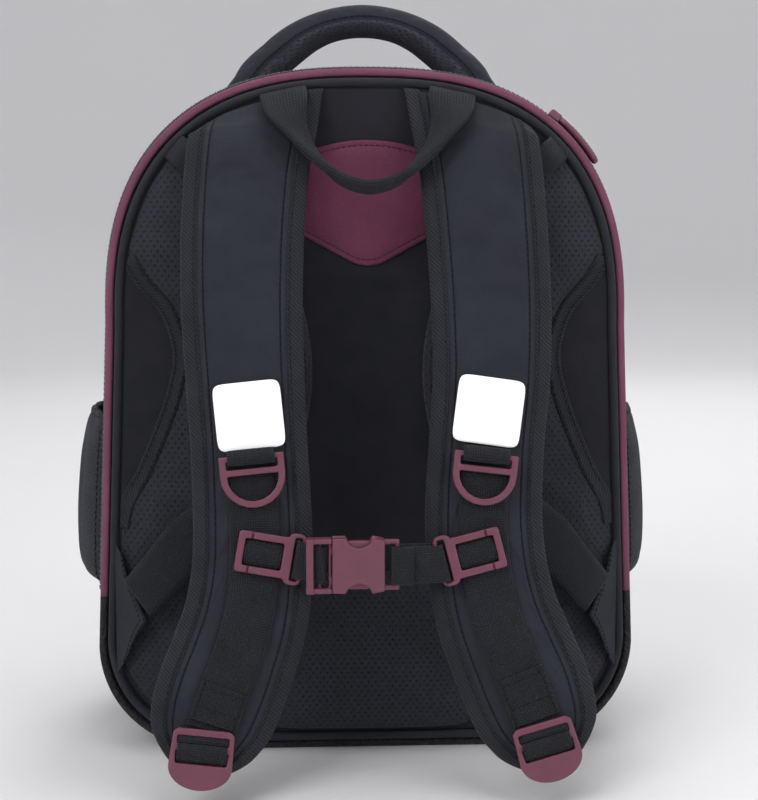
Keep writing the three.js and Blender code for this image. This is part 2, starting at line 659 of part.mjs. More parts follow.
// Across the strap, as distance from the edge and share of the thickness, for the pad inside its binding.
const PAD_EDGE = { drawn: 1.6, share: 0.12 };
const STRAP_FRONT = [
  { ...PAD_EDGE, lift: 0 },
  { drawn: 6, share: 0.21, lift: 0 },
  { drawn: 11.5, share: 0.36, lift: 0 },
  { drawn: 19, share: 0.48, lift: 0 },
];
const STRAP_BACK = [
  { ...PAD_EDGE, lift: 0 },
  { drawn: 11.5, share: 0.36, lift: 0 },
];
const BINDING = { width: 10.5, thick: 1, edge: 0.1 };
const BINDING_SHARE = 0.335; // height of the pad under the binding's inner edge
const STATIONS = Array.from({ length: STRAP_STATIONS + 1 }, (_, i) => i / STRAP_STATIONS);

function strapPad(label, side) {
  const back = (c) => ({ ...c, share: -c.share });
  const rings = STATIONS.map((s) => {
    const t = s * endOfLine(19);
    return [
      ...STRAP_FRONT.map((c) => edgePoint(side, s, -1, c)),
      onStrap(side, t, 0, 0.52 * strapFrame(side, t).thick),
      ...STRAP_FRONT.map((c) => edgePoint(side, s, 1, c)).reverse(),
      ...STRAP_BACK.map((c) => edgePoint(side, s, 1, back(c))),
      onStrap(side, t, 0, -0.48 * strapFrame(side, t).thick),
      ...STRAP_BACK.map((c) => edgePoint(side, s, -1, back(c))).reverse(),
    ];
  });
  const tip = onStrap(side, endOfLine(PAD_EDGE.drawn + 0.5), 0, 0);
  piece(`strap_${label}`, loft(rings, false, tip), FABRIC);
}

function strapBinding(label, side) {
  const inner = 3 * GAP;
  const outer = inner + BINDING.thick;
  const half = [
    { drawn: BINDING.width, share: BINDING_SHARE, lift: outer },
    { drawn: BINDING.edge, share: PAD_EDGE.share, lift: outer * 0.7 },
  ];
  const lining = [
    { drawn: PAD_EDGE.drawn - 1.5 * GAP, share: PAD_EDGE.share, lift: inner },
    { drawn: BINDING.width, share: BINDING_SHARE, lift: inner },
  ];
  const under = (c) => ({ drawn: c.drawn, share: -c.share, lift: -c.lift });
  const below = (points) => [...points].reverse().map(under);
  const section = [...half, ...below(half), ...below(lining), ...lining];
  const down = STATIONS.map((s) => section.map((c) => edgePoint(side, s, -1, c)));
  const up = [...STATIONS].reverse().map((s) => section.map((c) => edgePoint(side, s, 1, c)));
  piece(`strap_binding_${label}`, loft([...down, ...up]), TAPE);
}

// A group whose x runs across the strap, y up along it and z out from its front face.
function onStrapFace(side, z, across = 0, turnDeg = 0) {
  const f = strapFrame(side, strapAtHeight(z));
  const group = new THREE.Group();
  const basis = new THREE.Matrix4().makeBasis(f.wide, f.along.clone().negate(), f.facing);
  group.quaternion.setFromRotationMatrix(basis);
  group.rotateZ(THREE.MathUtils.degToRad(turnDeg));
  const face = 0.52 * f.thick;
  group.position.copy(f.middle.addScaledVector(f.wide, across).addScaledVector(f.facing, face));
  pack.add(group);
  return group;
}

// Reflective patch, D-ring and the roll of webbing that holds the ring.
const PATCH = { z: 196.5, size: 37, corner: 4, thick: 1.2 };
const RING = { z: 174, half: 16.5, bar: 3.4, thick: 3.4, slot: 4.2, topBar: 2.6, leg: 9 };
const ROLL = { inner: 2.5, outer: 3.75 };
const FITTING_TURN = 2.5; // the patch and the ring lean outwards at the top

function strapFittings(label, side) {
  const turn = -side * FITTING_TURN;
  const patchGroup = onStrapFace(side, PATCH.z, -side, turn);
  const h = PATCH.size / 2;
  const patch = piece(
    `reflector_${label}`,
    plate(roundedRectangle(-h, -h, h, h, PATCH.corner, 3), PATCH.thick),
    REFLECTIVE,
    patchGroup,
  );
  patch.position.z = 2 * GAP;

  const ringGroup = onStrapFace(side, RING.z, -side, turn);
  const inside = RING.half - RING.bar;
  const slotTop = -RING.topBar / 2;
  const middleBar = slotTop - RING.slot;
  const gapTop = middleBar - 3.2;
  const outline = [
    ...arc(0, -RING.leg, RING.half, 180, 360, 12),
    at2(RING.half, RING.topBar / 2),
    at2(-RING.half, RING.topBar / 2),
  ];
  const slot = rectangle(-inside, middleBar, inside, slotTop);
  const gap = [...arc(0, -RING.leg, inside, 180, 360, 10), at2(inside, gapTop), at2(-inside, gapTop)];
  const body = plate(outline, RING.thick, [slot, gap]);
  body.translate(0, 0, -RING.thick / 2);
  const ring = piece(`d_ring_${label}`, body, PINK_PLASTIC, ringGroup);
  const hingeHigh = ROLL.outer + 2 * GAP;
  ring.position.z = hingeHigh;

  const rollLength = 2 * inside - 1;
  const rollHole = [arc(0, 0, ROLL.inner, 0, 330, 11)];
  const roll = plate(arc(0, 0, ROLL.outer, 0, 330, 11), rollLength, rollHole);
  roll.translate(0, 0, -rollLength / 2).rotateY(Math.PI / 2);
  piece(`ring_roll_${label}`, roll, TAPE, ringGroup).position.z = hingeHigh;
}

// Webbing sewn down the middle of each strap, from under the D-ring to the adjuster.
const STRAP_WEB_TOP = RING.z - ROLL.outer - 1.2;
const STRAP_WEB_END = 38.5;

function strapWebbing(label, side) {
  const steps = 12;
  const [from, to] = [strapAtHeight(STRAP_WEB_TOP), strapAtHeight(STRAP_WEB_END)];
  const rings = Array.from({ length: steps + 1 }, (_, i) => {
    const t = lerp(from, to, i / steps);
    const low = 0.52 * strapFrame(side, t).thick + 1.5 * GAP;
    const across = -side - STRAP_WEB / 2;
    return [
      onStrap(side, t, across, low),
      onStrap(side, t, across + STRAP_WEB, low),
      onStrap(side, t, across + STRAP_WEB, low + WEB_THICK),
      onStrap(side, t, across, low + WEB_THICK),
    ];
  });
  piece(`strap_webbing_${label}`, loft(rings), TAPE);
}

// Adjuster at the strap's end: a frame with two bars, and a thumb tongue that hangs over the end.
const ADJUSTER = {
  half: 16,
  top: 14,
  low: -4.5,
  tongue: 11.5,
  thick: 4,
  window: 13,
  barLow: 3.2,
  barTop: 6.2,
};
const ADJUSTER_PLACE = { left: { z: 26, turn: 9 }, right: { z: 27.2, turn: 0 } };
const WEB_TOP = WEB_THICK + 2.5 * GAP; // top of the webbing above the strap's face
const ADJUSTER_ROLL = { inner: 2.8, outer: 4 }; // webbing turned round the middle bar

function adjuster(label, side) {
  const place = ADJUSTER_PLACE[label];
  const group = onStrapFace(side, place.z, 0, place.turn);
  const { half, top, low, tongue, thick, window: hole, barLow, barTop } = ADJUSTER;
  const outline = new THREE.Shape();
  outline.moveTo(-half, low);
  outline.absellipse(0, low, half, tongue, Math.PI, 2 * Math.PI);
  outline.lineTo(half - 0.6, top - 2);
  outline.lineTo(half - 3, top);
  outline.lineTo(-half + 3, top);
  outline.lineTo(-half + 0.6, top - 2);
  const upperHole = rectangle(-hole, barTop, hole, top - 3.4);
  const lowerHole = rectangle(-hole, low + 1.2, hole, barLow);
  outline.holes.push(new THREE.Path(upperHole), new THREE.Path(lowerHole));
  const extrusion = { depth: thick, bevelEnabled: false, curveSegments: 12 };
  const frame = new THREE.ExtrudeGeometry(outline, extrusion);
  const seat = WEB_TOP + GAP;
  piece(`adjuster_${label}`, frame, PINK_PLASTIC, group).position.z = seat;

  const length = 2 * hole - 1;
  const rollHole = [arc(0, 0, ADJUSTER_ROLL.inner, 0, 330, 11)];
  const roll = plate(arc(0, 0, ADJUSTER_ROLL.outer, 0, 330, 11), length, rollHole);
  roll.translate(0, 0, -length / 2).rotateY(Math.PI / 2);
  const rollMesh = piece(`adjuster_roll_${label}`, roll, TAPE, group);
  rollMesh.position.set(0, (barLow + barTop) / 2, seat + thick / 2);
}

// Lower webbing: sewn to the gusset at the side, looped up behind the strap, down its back,
// gathered round its end and up to the adjuster's bar.
const LOWER_WEB_ROWS = [
  { x: 127, z: 89.5, out: 15, width: 25.5, wideX: 0.45, wideOut: -0.35, wideZ: 0.88 },
  { x: 118, z: 100, out: 19.5, width: 25, wideX: 0.5, wideOut: -0.25, wideZ: 0.85 },
  { x: 107.5, z: 112.5, out: 24, width: 25, wideX: 0.58, wideOut: -0.1, wideZ: 0.78 },
  { x: 97, z: 126, out: 28.5, width: 25, wideX: 0.65, wideOut: 0, wideZ: 0.75 },
  { x: 83, z: 138, out: 36, width: 25, wideX: 0.75, wideOut: 0.1, wideZ: 0.6 },
  { x: 74.5, z: 145.5, out: 42, width: 25, wideX: 0.85, wideOut: 0.1, wideZ: 0.45 },
  { x: 69, z: 148.5, out: 47.5, width: 25, wideX: 0.95, wideOut: 0, wideZ: 0.25 },
  { x: 66.5, z: 145, out: 52, width: 25, wideX: 1, wideOut: 0, wideZ: 0.1 },
  { x: 65.3, z: 135, out: 55.8, width: 25, wideX: 1, wideOut: 0, wideZ: 0.05 },
  { x: 65, z: 116, out: 59, width: 25, wideX: 1, wideOut: 0, wideZ: 0.05 },
  { x: 68, z: 92, out: 62.3, width: 25, wideX: 1, wideOut: 0, wideZ: 0.25 },
  { x: 75, z: 68, out: 66.6, width: 25, wideX: 1, wideOut: 0, wideZ: 0.35 },
  { x: 82, z: 47, out: 71.3, width: 25, wideX: 1, wideOut: 0, wideZ: 0.35 },
  { x: 87, z: 29, out: 75.8, width: 25, wideX: 1, wideOut: 0, wideZ: 0.3 },
  { x: 90, z: 18.6, out: 79.8, width: 20, wideX: 1, wideOut: 0, wideZ: 0.25 },
  { x: 91, z: 14.6, out: 83, width: 16, wideX: 1, wideOut: 0, wideZ: 0.25 },
  { x: 91.4, z: 12.8, out: 87.4, width: 15, wideX: 1, wideOut: 0, wideZ: 0.25 },
  { x: 91.3, z: 14.2, out: 91.6, width: 15, wideX: 1, wideOut: 0, wideZ: 0.25 },
  { x: 90.6, z: 18, out: 92.9, width: 18, wideX: 1, wideOut: 0, wideZ: 0.25 },
  { x: 89.2, z: 24.6, out: 91.8, width: 24, wideX: 1, wideOut: 0, wideZ: 0.28 },
].map((row) => ({ thick: WEB_THICK, ...row }));

// Gusset: a sewn triangle of cloth at the side that rises from the piping over the pad to the webbing.
const GUSSET = { thick: 1.6, outer: 138.6, out: 2.5, rise: 0.776 };
const GUSSET_ROWS = [
  { z: 118, inner: 136 },
  { z: 104, inner: 131 },
  { z: 90, inner: 125.6 },
  { z: 82, inner: 124.4 },
  { z: 72, inner: 130 },
  { z: 60, inner: 134 },
  { z: 52, inner: 136.5 },
];

function gusset(label, side) {
  const rings = GUSSET_ROWS.map(({ z, inner }) => {
    const innerOut = GUSSET.out + GUSSET.rise * (GUSSET.outer - inner);
    return [
      point(side * GUSSET.outer, BACK_Y - GUSSET.out, z),
      point(side * inner, BACK_Y - innerOut, z),
      point(side * inner, BACK_Y - innerOut - GUSSET.thick, z),
      point(side * GUSSET.outer, BACK_Y - GUSSET.out - GUSSET.thick, z),
    ];
  });
  piece(`gusset_${label}`, loft(rings), FABRIC);
}

// Short webbing tab between the piping and the back of the strap at each shoulder.
const TAB_ROWS = [
  { x: 106.5, z: 336, out: 6.5, width: 17, thick: WEB_THICK, wideX: 0.62, wideOut: 0, wideZ: -0.78 },
  { x: 100, z: 331, out: 10, width: 17, thick: WEB_THICK, wideX: 0.62, wideOut: 0, wideZ: -0.78 },
  { x: 87, z: 322, out: 13.2, width: 17, thick: WEB_THICK, wideX: 0.62, wideOut: 0, wideZ: -0.78 },
];

// Chest strap: a clip on each strap's webbing, a side-release buckle, and loops of webbing between them.
const CHEST_Z = 122.5;
const CHEST_OUT = 80.5; // plane of the chest webbing in front of the panel
const CLIP = { z: 126, across: 5.3, half: 13.5, high: 10.5, bar: 3.6, thick: 4, tilt: 9, loopHalf: 13 };
const CLIP_LOOP = { inner: 13.5, slotFrom: 15, slotTo: 18.8, outer: 20.8 };

function chestClip(label, side) {
  const group = onStrapFace(side, CLIP.z, -side * CLIP.across, side * CLIP.tilt);
  const { half, high, bar, thick, loopHalf } = CLIP;
  const frame = plate(roundedRectangle(-half, -high, half, high, 1.5, 2), thick, [
    rectangle(-half + bar, -high + bar, half - bar, high - bar),
  ]);
  const loopOutline = roundedRectangle(CLIP_LOOP.inner - 2, -loopHalf, CLIP_LOOP.outer, loopHalf, 3, 2);
  const slotHalf = CHEST_WEB / 2 + 1.5;
  const loop = plate(loopOutline, thick, [
    rectangle(CLIP_LOOP.slotFrom, -slotHalf, CLIP_LOOP.slotTo, slotHalf),
  ]);
  const notch = (y) => new THREE.BoxGeometry(1, bar + 1, thick).translate(-half + 7, y, thick);
  const clip = cut(join(frame, loop), notch(high - bar / 2), notch(-high + bar / 2));
  const mesh = piece(`chest_clip_${label}`, clip, PINK_PLASTIC, group);
  if (side > 0) mesh.rotation.z = Math.PI;
  mesh.position.z = WEB_TOP + GAP;
}

// The buckle is drawn in a plane of its own: x to the right, y up, z out from the wearer's side.
const BUCKLE = {
  half: 14,
  inside: 5.2,
  skin: 2.2,
  left: -18.5,
  right: 8,
  end: 15.5,
  bar: { wide: 2, thick: 3.2 },
};
const buckleGroup = new THREE.Group();
buckleGroup.position.set(-3, BACK_Y - CHEST_OUT, CHEST_Z);
buckleGroup.rotation.x = Math.PI / 2;
pack.add(buckleGroup);

function buckleSocket() {
  const { half, inside, skin, left, right, end } = BUCKLE;
  const notchX = -5;
  const notchR = 7;
  const notch = (y, from, to) => arc(notchX, y, notchR, from, to, 6);
  const face = [
    at2(left, -half),
    ...notch(-half - 2, 165, 15),
    at2(right, -half + 1),
    at2(right, half - 1),
    ...notch(half + 2, -15, -165),
    at2(left, half),
  ];
  const front = plate(face, skin).translate(0, 0, inside / 2);
  const back = plate(face, skin).translate(0, 0, -inside / 2 - skin);
  const core = plate(rectangle(right - 5, -half + 1, right, half - 1), inside + 2);
  core.translate(0, 0, -inside / 2 - 1);
  const tail = plate(
    rectangle(right - 1, -half + 1, end, half - 1),
    BUCKLE.bar.thick,
    [rectangle(right, -CHEST_WEB / 2 - 0.8, end - BUCKLE.bar.wide, CHEST_WEB / 2 + 0.8)],
  ).translate(0, 0, -BUCKLE.bar.thick / 2);
  piece("buckle_socket", join(front, back, core, tail), PINK_PLASTIC, buckleGroup);
}

// The plug's webbing goes behind its outer bridge and round the bar in its window.
const PLUG = {
  reach: 13.2,
  rail: 2.6,
  railTop: 4.8,
  bridge: 3.8,
  bridgeLow: 4.2,
  bridgeTop: 6,
  barAt: 6.4,
};

function bucklePlug() {
  const { half, left, bar } = BUCKLE;
  const thick = BUCKLE.inside - 4 * GAP;
  const slab = (x0, y0, x1, y1, low = -thick / 2, high = thick / 2) =>
    plate(rectangle(x0, y0, x1, y1), high - low).translate(0, 0, low);
  const start = left - PLUG.reach;
  const barX = left - PLUG.barAt;
  const railY = half - PLUG.rail;
  const frame = [
    slab(start, railY, left - GAP, half, -thick / 2, PLUG.railTop),
    slab(start, -half, left - GAP, -railY, -thick / 2, PLUG.railTop),
    slab(barX - bar.wide / 2, -railY - 1, barX + bar.wide / 2, railY + 1, -bar.thick / 2, bar.thick / 2),
    slab(left - 1.8, -railY - 1, left - GAP, railY + 1),
    slab(start, railY, start + PLUG.bridge, half, 0, PLUG.bridgeTop),
    slab(start, -half, start + PLUG.bridge, -railY, 0, PLUG.bridgeTop),
    slab(start, -half, start + PLUG.bridge, half, PLUG.bridgeLow, PLUG.bridgeTop),
  ];
  const arm = (way) => {
    const [y0, y1] = way > 0 ? [6, 9.2] : [-9.2, -6];
    const [b0, b1] = way > 0 ? [6, 12.4] : [-12.4, -6];
    const button = plate(roundedRectangle(-11.5, b0, 1.5, b1, 2.2, 3), thick).translate(0, 0, -thick / 2);
    return [slab(left - 1.5, y0, -8, y1), button];
  };
  piece("buckle_plug", join(...frame, ...arm(1), ...arm(-1)), PINK_PLASTIC, buckleGroup);
}

// A loop of webbing round two bars, each given by its middle and the way it runs.
function webbingLoop(name, barA, barB) {
  const inner = 2.7;
  const outer = inner + 1.2;
  const edge = (bar, way) => bar.middle.clone().addScaledVector(bar.runs, (way * CHEST_WEB) / 2);
  const race = (way, radius) => {
    const [a, b] = [edge(barA, way), edge(barB, way)];
    const along = b.clone().sub(a).normalize();
    const out = point(0, 0, 0).crossVectors(along, barA.runs).normalize();
    const turn = (middle, from) =>
      arc(0, 0, radius, from, from + 180, 6).map((c) =>
        middle.clone().addScaledVector(along, c.x).addScaledVector(out, c.y),
      );
    return [...turn(a, 90), ...turn(b, -90)];
  };
  piece(name, loft([race(-1, outer), race(1, outer), race(1, inner), race(-1, inner)], true), TAPE);
}

// The bar of a clip's loop, as a place in the pack.
function clipBar(label) {
  pack.updateMatrixWorld(true);
  const clip = pack.getObjectByName(`chest_clip_${label}`);
  const barX = (CLIP_LOOP.slotTo + CLIP_LOOP.outer) / 2;
  const place = (y) => clip.localToWorld(point(barX, y, CLIP.thick / 2));
  const runs = place(1).sub(place(-1)).normalize();
  return { middle: place(0), runs: runs.z < 0 ? runs.negate() : runs };
}

function chestWebbing() {
  const buckleBar = (x) => ({
    middle: point(buckleGroup.position.x + x, BACK_Y - CHEST_OUT, CHEST_Z),
    runs: point(0, 0, 1),
  });
  webbingLoop("chest_webbing_left", clipBar("left"), buckleBar(BUCKLE.left - PLUG.barAt));
  webbingLoop("chest_webbing_right", buckleBar(BUCKLE.end - BUCKLE.bar.wide / 2), clipBar("right"));
}

// Assembly
bodyShell();
baseBoot();
backBoard();
pipingLoop();
edgeBands();
zip();
zipPull();
lumbarPad();
labelPatch();
carryHandle();
piece("haul_loop", ribbon(HAUL_ROWS, 1, 12, true), TAPE);
for (const [label, side] of [["left", -1], ["right", 1]]) {
  sidePad(label, side);
  padTape(label, side);
  sidePocket(label, side);
  gusset(label, side);
  piece(`lower_webbing_${label}`, ribbon(LOWER_WEB_ROWS, side, 36), TAPE);
  piece(`strap_tab_${label}`, ribbon(TAB_ROWS, side, 4), TAPE);
  strapPad(label, side);
  strapBinding(label, side);
  strapFittings(label, side);
  strapWebbing(label, side);
  adjuster(label, side);
  chestClip(label, side);
}
buckleSocket();
bucklePlug();
chestWebbing();

export default pack;
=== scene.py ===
"""Looks of a school backpack with a stiff arched body: soft goods, stitching, plastic and a plain studio.

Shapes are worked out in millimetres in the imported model's frame: x to the right, y away from the wearer's
side and z up. They become metres as each mesh is made.
"""
import math
from contextlib import contextmanager

import bmesh
import bpy
import numpy as np
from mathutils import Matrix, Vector


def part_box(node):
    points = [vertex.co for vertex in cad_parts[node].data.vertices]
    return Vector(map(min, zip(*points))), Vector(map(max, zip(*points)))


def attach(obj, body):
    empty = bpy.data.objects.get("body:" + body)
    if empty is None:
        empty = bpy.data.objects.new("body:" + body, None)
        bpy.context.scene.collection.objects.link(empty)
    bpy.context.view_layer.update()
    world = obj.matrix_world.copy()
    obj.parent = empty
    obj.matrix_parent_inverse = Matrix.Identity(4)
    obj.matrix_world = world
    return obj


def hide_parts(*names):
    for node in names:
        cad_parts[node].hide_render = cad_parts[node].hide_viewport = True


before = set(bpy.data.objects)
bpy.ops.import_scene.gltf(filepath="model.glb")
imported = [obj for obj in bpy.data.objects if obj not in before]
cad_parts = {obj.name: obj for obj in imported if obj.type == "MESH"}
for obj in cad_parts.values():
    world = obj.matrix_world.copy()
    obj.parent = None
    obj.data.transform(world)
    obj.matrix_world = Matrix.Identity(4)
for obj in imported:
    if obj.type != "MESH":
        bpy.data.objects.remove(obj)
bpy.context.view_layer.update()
scene = bpy.context.scene
MM = 0.001
SIDES = (("left", -1), ("right", 1))
OUTWARD = np.array([0, -1.0, 0])  # toward the wearer
UPWARD = np.array([0, 0, 1.0])

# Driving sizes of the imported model
HEIGHT = 376
FOOT_HALF = 149
SHOULDER_HALF = 142
SHOULDER_Z = 238
ARCH_POWER = 2.55
CORNER_R = 60
BACK_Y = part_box("back_board")[0].y / MM
MOUTH_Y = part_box("body_shell")[0].y / MM
TRIM_END_Z = 88
SHELL_OUT = 2.3
STRAP_WEB = 25
CHEST_WEB = 19


# Numbers and curves

def smooth(table, t):
    """Rows of a table read at places t from 0 to 1, on smooth curves through them."""
    table = np.asarray(table, float)
    place = np.clip(np.asarray(t, float), 0, 1) * (len(table) - 1)
    i = np.minimum(place.astype(int), len(table) - 2)
    f = (place - i)[:, None]
    row = lambda k: table[np.clip(k, 0, len(table) - 1)]
    p0, p1, p2, p3 = row(i - 1), row(i), row(i + 1), row(i + 2)
    m1, m2 = (p2 - p0) / 2, (p3 - p1) / 2
    return (
        (2 * f**3 - 3 * f**2 + 1) * p1
        + (f**3 - 2 * f**2 + f) * m1
        + (3 * f**2 - 2 * f**3) * p2
        + (f**3 - f**2) * m2
    )


def ease(x):
    x = np.clip(x, 0, 1)
    return x * x * (3 - 2 * x)


def unit(v):
    return v / np.maximum(np.linalg.norm(v, axis=-1, keepdims=True), 1e-12)


def wobble(u, v, size):
    """A gentle unevenness from -1 to 1 over u and v, with bumps of about the given size."""
    a, b = u / size * 2, v / size * 2
    return (np.sin(a + 0.7 * b) + np.sin(0.53 * a - 1.31 * b + 1.7) + np.sin(1.71 * a + 0.29 * b + 4.1)) / 3


def turns(count):
    """Angles spread evenly round a circle."""
    return np.linspace(0, 2 * np.pi, count, endpoint=False)


def squared(f, power):
    """Sines or cosines made blunt, so that a circle turns into a square with round corners."""
    return np.sign(f) * np.abs(f) ** power


def lengths(points):
    """Distance run along a line of points, from 0 at its start."""
    return np.concatenate([[0], np.cumsum(np.linalg.norm(np.diff(points, axis=0), axis=1))])


def spaced(points, pitch):
    """Places along a line of points, one every pitch, as shares of the way between its points."""
    run = lengths(points)
    count = max(int(run[-1] // pitch), 1)
    return np.interp((np.arange(count) + 0.5) * run[-1] / count, run, np.arange(len(points)))


def pick(values, places):
    """Values of a line read at places between its points."""
    i = np.minimum(places.astype(int), len(values) - 2)
    f = (places - i)[:, None]
    return values[i] * (1 - f) + values[i + 1] * f


# The body's outline, as seen from the worn side

def outline_line():
    corner = np.radians(np.linspace(-90, 0, 40))
    arch = np.linspace(0, np.pi / 2, 220)
    x = [[0.0], FOOT_HALF - CORNER_R + CORNER_R * np.cos(corner)]
    z = [[0.0], CORNER_R + CORNER_R * np.sin(corner)]
    x.append(SHOULDER_HALF * np.clip(np.cos(arch), 0, 1) ** (2 / ARCH_POWER))
    z.append(SHOULDER_Z + (HEIGHT - SHOULDER_Z) * np.sin(arch) ** (2 / ARCH_POWER))
    half = np.stack([np.concatenate(x), np.concatenate(z)], 1)
    return np.concatenate([half, half[-2::-1] * [-1, 1]])


LINE = outline_line()
LINE_RUN = lengths(LINE)
AROUND = LINE_RUN[-1]
RIGHT_LINE = LINE[LINE_RUN <= AROUND / 2]
RIGHT_RUN = LINE_RUN[:len(RIGHT_LINE)]


def outline(run):
    """Points and outward directions of the outline at distances run from the middle of the base."""
    at = lambda s: np.stack([np.interp(s % AROUND, LINE_RUN, LINE[:, k]) for k in (0, 1)], 1)
    along = unit(at(run + 1.5) - at(run - 1.5))
    return at(run), np.stack([along[:, 1], -along[:, 0]], 1)


def run_at_height(z):
    """How far round the right side the outline reaches a height."""
    return float(np.interp(z, RIGHT_LINE[:, 1], RIGHT_RUN))


def sideways(out, back=0.0):
    """Directions out of the outline as directions in space, which may lean away from the wearer's side."""
    return np.stack([out[:, 0], np.full(len(out), back), out[:, 1]], 1)


def inset(p, y, side, bottom=None):
    """Outline points drawn in by side, and by bottom at the base, at depth y."""
    low = side if bottom is None else bottom
    z = low + p[:, 1] * (HEIGHT - side - low) / HEIGHT
    return np.stack([p[:, 0] * (1 - side / FOOT_HALF), np.broadcast_to(y, len(p)), z], 1)


def along_outline(run, section):
    """A section, as rows of (drawn in, y), swept along the outline."""
    p, out = outline(run)
    first = section[0][0]
    base = inset(p, 0, first)
    return np.stack([base + sideways(out) * (first - drawn) + [0, y, 0] for drawn, y in section], 1)


TRIM_RUN = run_at_height(TRIM_END_Z)
WHOLE = np.linspace(0, AROUND, 480, endpoint=False)
UPPER = np.linspace(TRIM_RUN + 0.15, AROUND - TRIM_RUN - 0.15, 360)
LOWER = np.linspace(AROUND - TRIM_RUN + 0.15, AROUND + TRIM_RUN - 0.15, 240)


def rounded(half_in, half_y, middle_in, middle_y, corner, count):
    """A section with rounded corners, as rows of (drawn in, y)."""
    a = turns(count)
    across, deep = (squared(f, 2 / corner) for f in (np.cos(a), np.sin(a)))
    return list(zip(middle_in - half_in * across, middle_y + half_y * deep))


# Meshes

WELD = 1e-6  # points nearer than this, in metres, become one


def add_object(name, data):
    obj = bpy.data.objects.new(name, data)
    scene.collection.objects.link(obj)
    return obj


def new_object(name, verts, faces):
    mesh = bpy.data.meshes.new(name)
    mesh.from_pydata((np.asarray(verts).reshape(-1, 3) * MM).tolist(), [], faces)
    return add_object(name, mesh)


def node_copy(node, ending):
    """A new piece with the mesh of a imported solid."""
    obj = add_object(node + ending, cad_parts[node].data.copy())
    obj.data.materials.clear()
    return obj


def read(data, key, width, kind=np.float32):
    """Values of a mesh's points or corners, one row each."""
    values = np.zeros(len(data) * width, kind)
    data.foreach_get(key, values)
    return values.reshape(-1, width)


@contextmanager
def editing(obj):
    """An object's mesh opened for changes, which go back to it at the end."""
    edit = bmesh.new()
    edit.from_mesh(obj.data)
    yield edit
    edit.to_mesh(obj.data)
    edit.free()


def tidy_normals(obj, weld=False):
    with editing(obj) as edit:
        if weld:
            bmesh.ops.remove_doubles(edit, verts=edit.verts, dist=WELD)
        bmesh.ops.recalc_face_normals(edit, faces=edit.faces)
    obj.data.shade_smooth()


def surface(name, points, wrap_rows=False, weld=False):
    """A mesh over rows of points, each row a closed ring, with a map of its own run lengths in metres."""
    rows, cols, _ = points.shape
    row_spans = rows if wrap_rows else rows - 1
    r, c = np.meshgrid(np.arange(row_spans), np.arange(cols), indexing="ij")
    r2, c2 = (r + 1) % rows, (c + 1) % cols
    quads = np.stack([r * cols + c, r * cols + c2, r2 * cols + c2, r2 * cols + c], -1).reshape(-1, 4)
    faces = quads.tolist()
    if not wrap_rows:
        faces += [list(range(cols))[::-1], list(range((rows - 1) * cols, rows * cols))]
    obj = new_object(name, points, faces)
    closed = np.concatenate([points, points[:, :1]], 1)
    closed = np.concatenate([closed, closed[:1]], 0)
    u = np.concatenate([[0], np.cumsum(np.linalg.norm(np.diff(closed, axis=1), axis=2)[:-1].mean(0))])
    v = np.concatenate([[0], np.cumsum(np.linalg.norm(np.diff(closed, axis=0), axis=2)[:, :-1].mean(1))])
    corners = [(c, r), (c + 1, r), (c + 1, r + 1), (c, r + 1)]
    mapped = np.stack([np.stack([u[a], v[b]], -1) for a, b in corners], 2).reshape(-1, 2)
    if not wrap_rows:
        mapped = np.concatenate([mapped, np.zeros((2 * cols, 2))])
    layer = obj.data.uv_layers.new(name="UVMap")
    layer.data.foreach_set("uv", (mapped * MM).astype(np.float32).ravel())
    tidy_normals(obj, weld)
    return obj


def flat_map(obj, across=0, up=2, beyond=None):
    """Maps a mesh straight on, by two of its own axes, in metres: all of it, or the faces beyond a depth."""
    mesh = obj.data
    layer = mesh.uv_layers.active or mesh.uv_layers.new(name="UVMap")
    index = read(mesh.loops, "vertex_index", 1, np.int32).ravel()
    flat = read(mesh.vertices, "co", 3)[index][:, [across, up]]
    if beyond is not None:
        faces = [(face.center.y > beyond * MM, face.loop_total) for face in mesh.polygons]
        deep = np.repeat(*np.array(faces).T)
        flat = np.where(deep[:, None], flat, read(layer.data, "uv", 2))
    layer.data.foreach_set("uv", flat.ravel())


def band(name, middle, wide, width, thick, cols=8):
    """A strip of webbing or tape along a line of middles, with the way that its width runs."""
    along = unit(np.gradient(middle, axis=0))
    wide = unit(wide - along * np.sum(wide * along, 1, keepdims=True))
    out = np.cross(along, wide)
    width, thick = (np.broadcast_to(np.asarray(v, float), len(middle)) for v in (width, thick))
    spread = np.linspace(-1, 1, cols)
    lift = 0.5 * (1 - 0.55 * np.abs(spread) ** 9)  # its edges are thinner than its middle
    across = np.concatenate([spread, spread[::-1]]) / 2
    high = np.concatenate([lift, -lift[::-1]])
    points = middle[:, None] + wide[:, None] * (width[:, None] * across)[..., None]
    return surface(name, points + out[:, None] * (thick[:, None] * high)[..., None])


def ribbon(name, table, side, count, cols=8):
    """A band through rows of x, z, out, width, thick, and the way its width runs in x, out and z."""
    x, z, out, width, thick, wide_x, wide_out, wide_z = smooth(table, np.linspace(0, 1, count)).T
    middle = np.stack([side * x, BACK_Y - out, z], 1)
    return band(name, middle, np.stack([side * wide_x, -wide_out, wide_z], 1), width, thick, cols)


ROD_SIDES = 6
ROD = [
    # share of the length, share of the radius
    (-0.5, 0.25), (-0.36, 0.85), (0, 1.0), (0.36, 0.85), (0.5, 0.25),
]


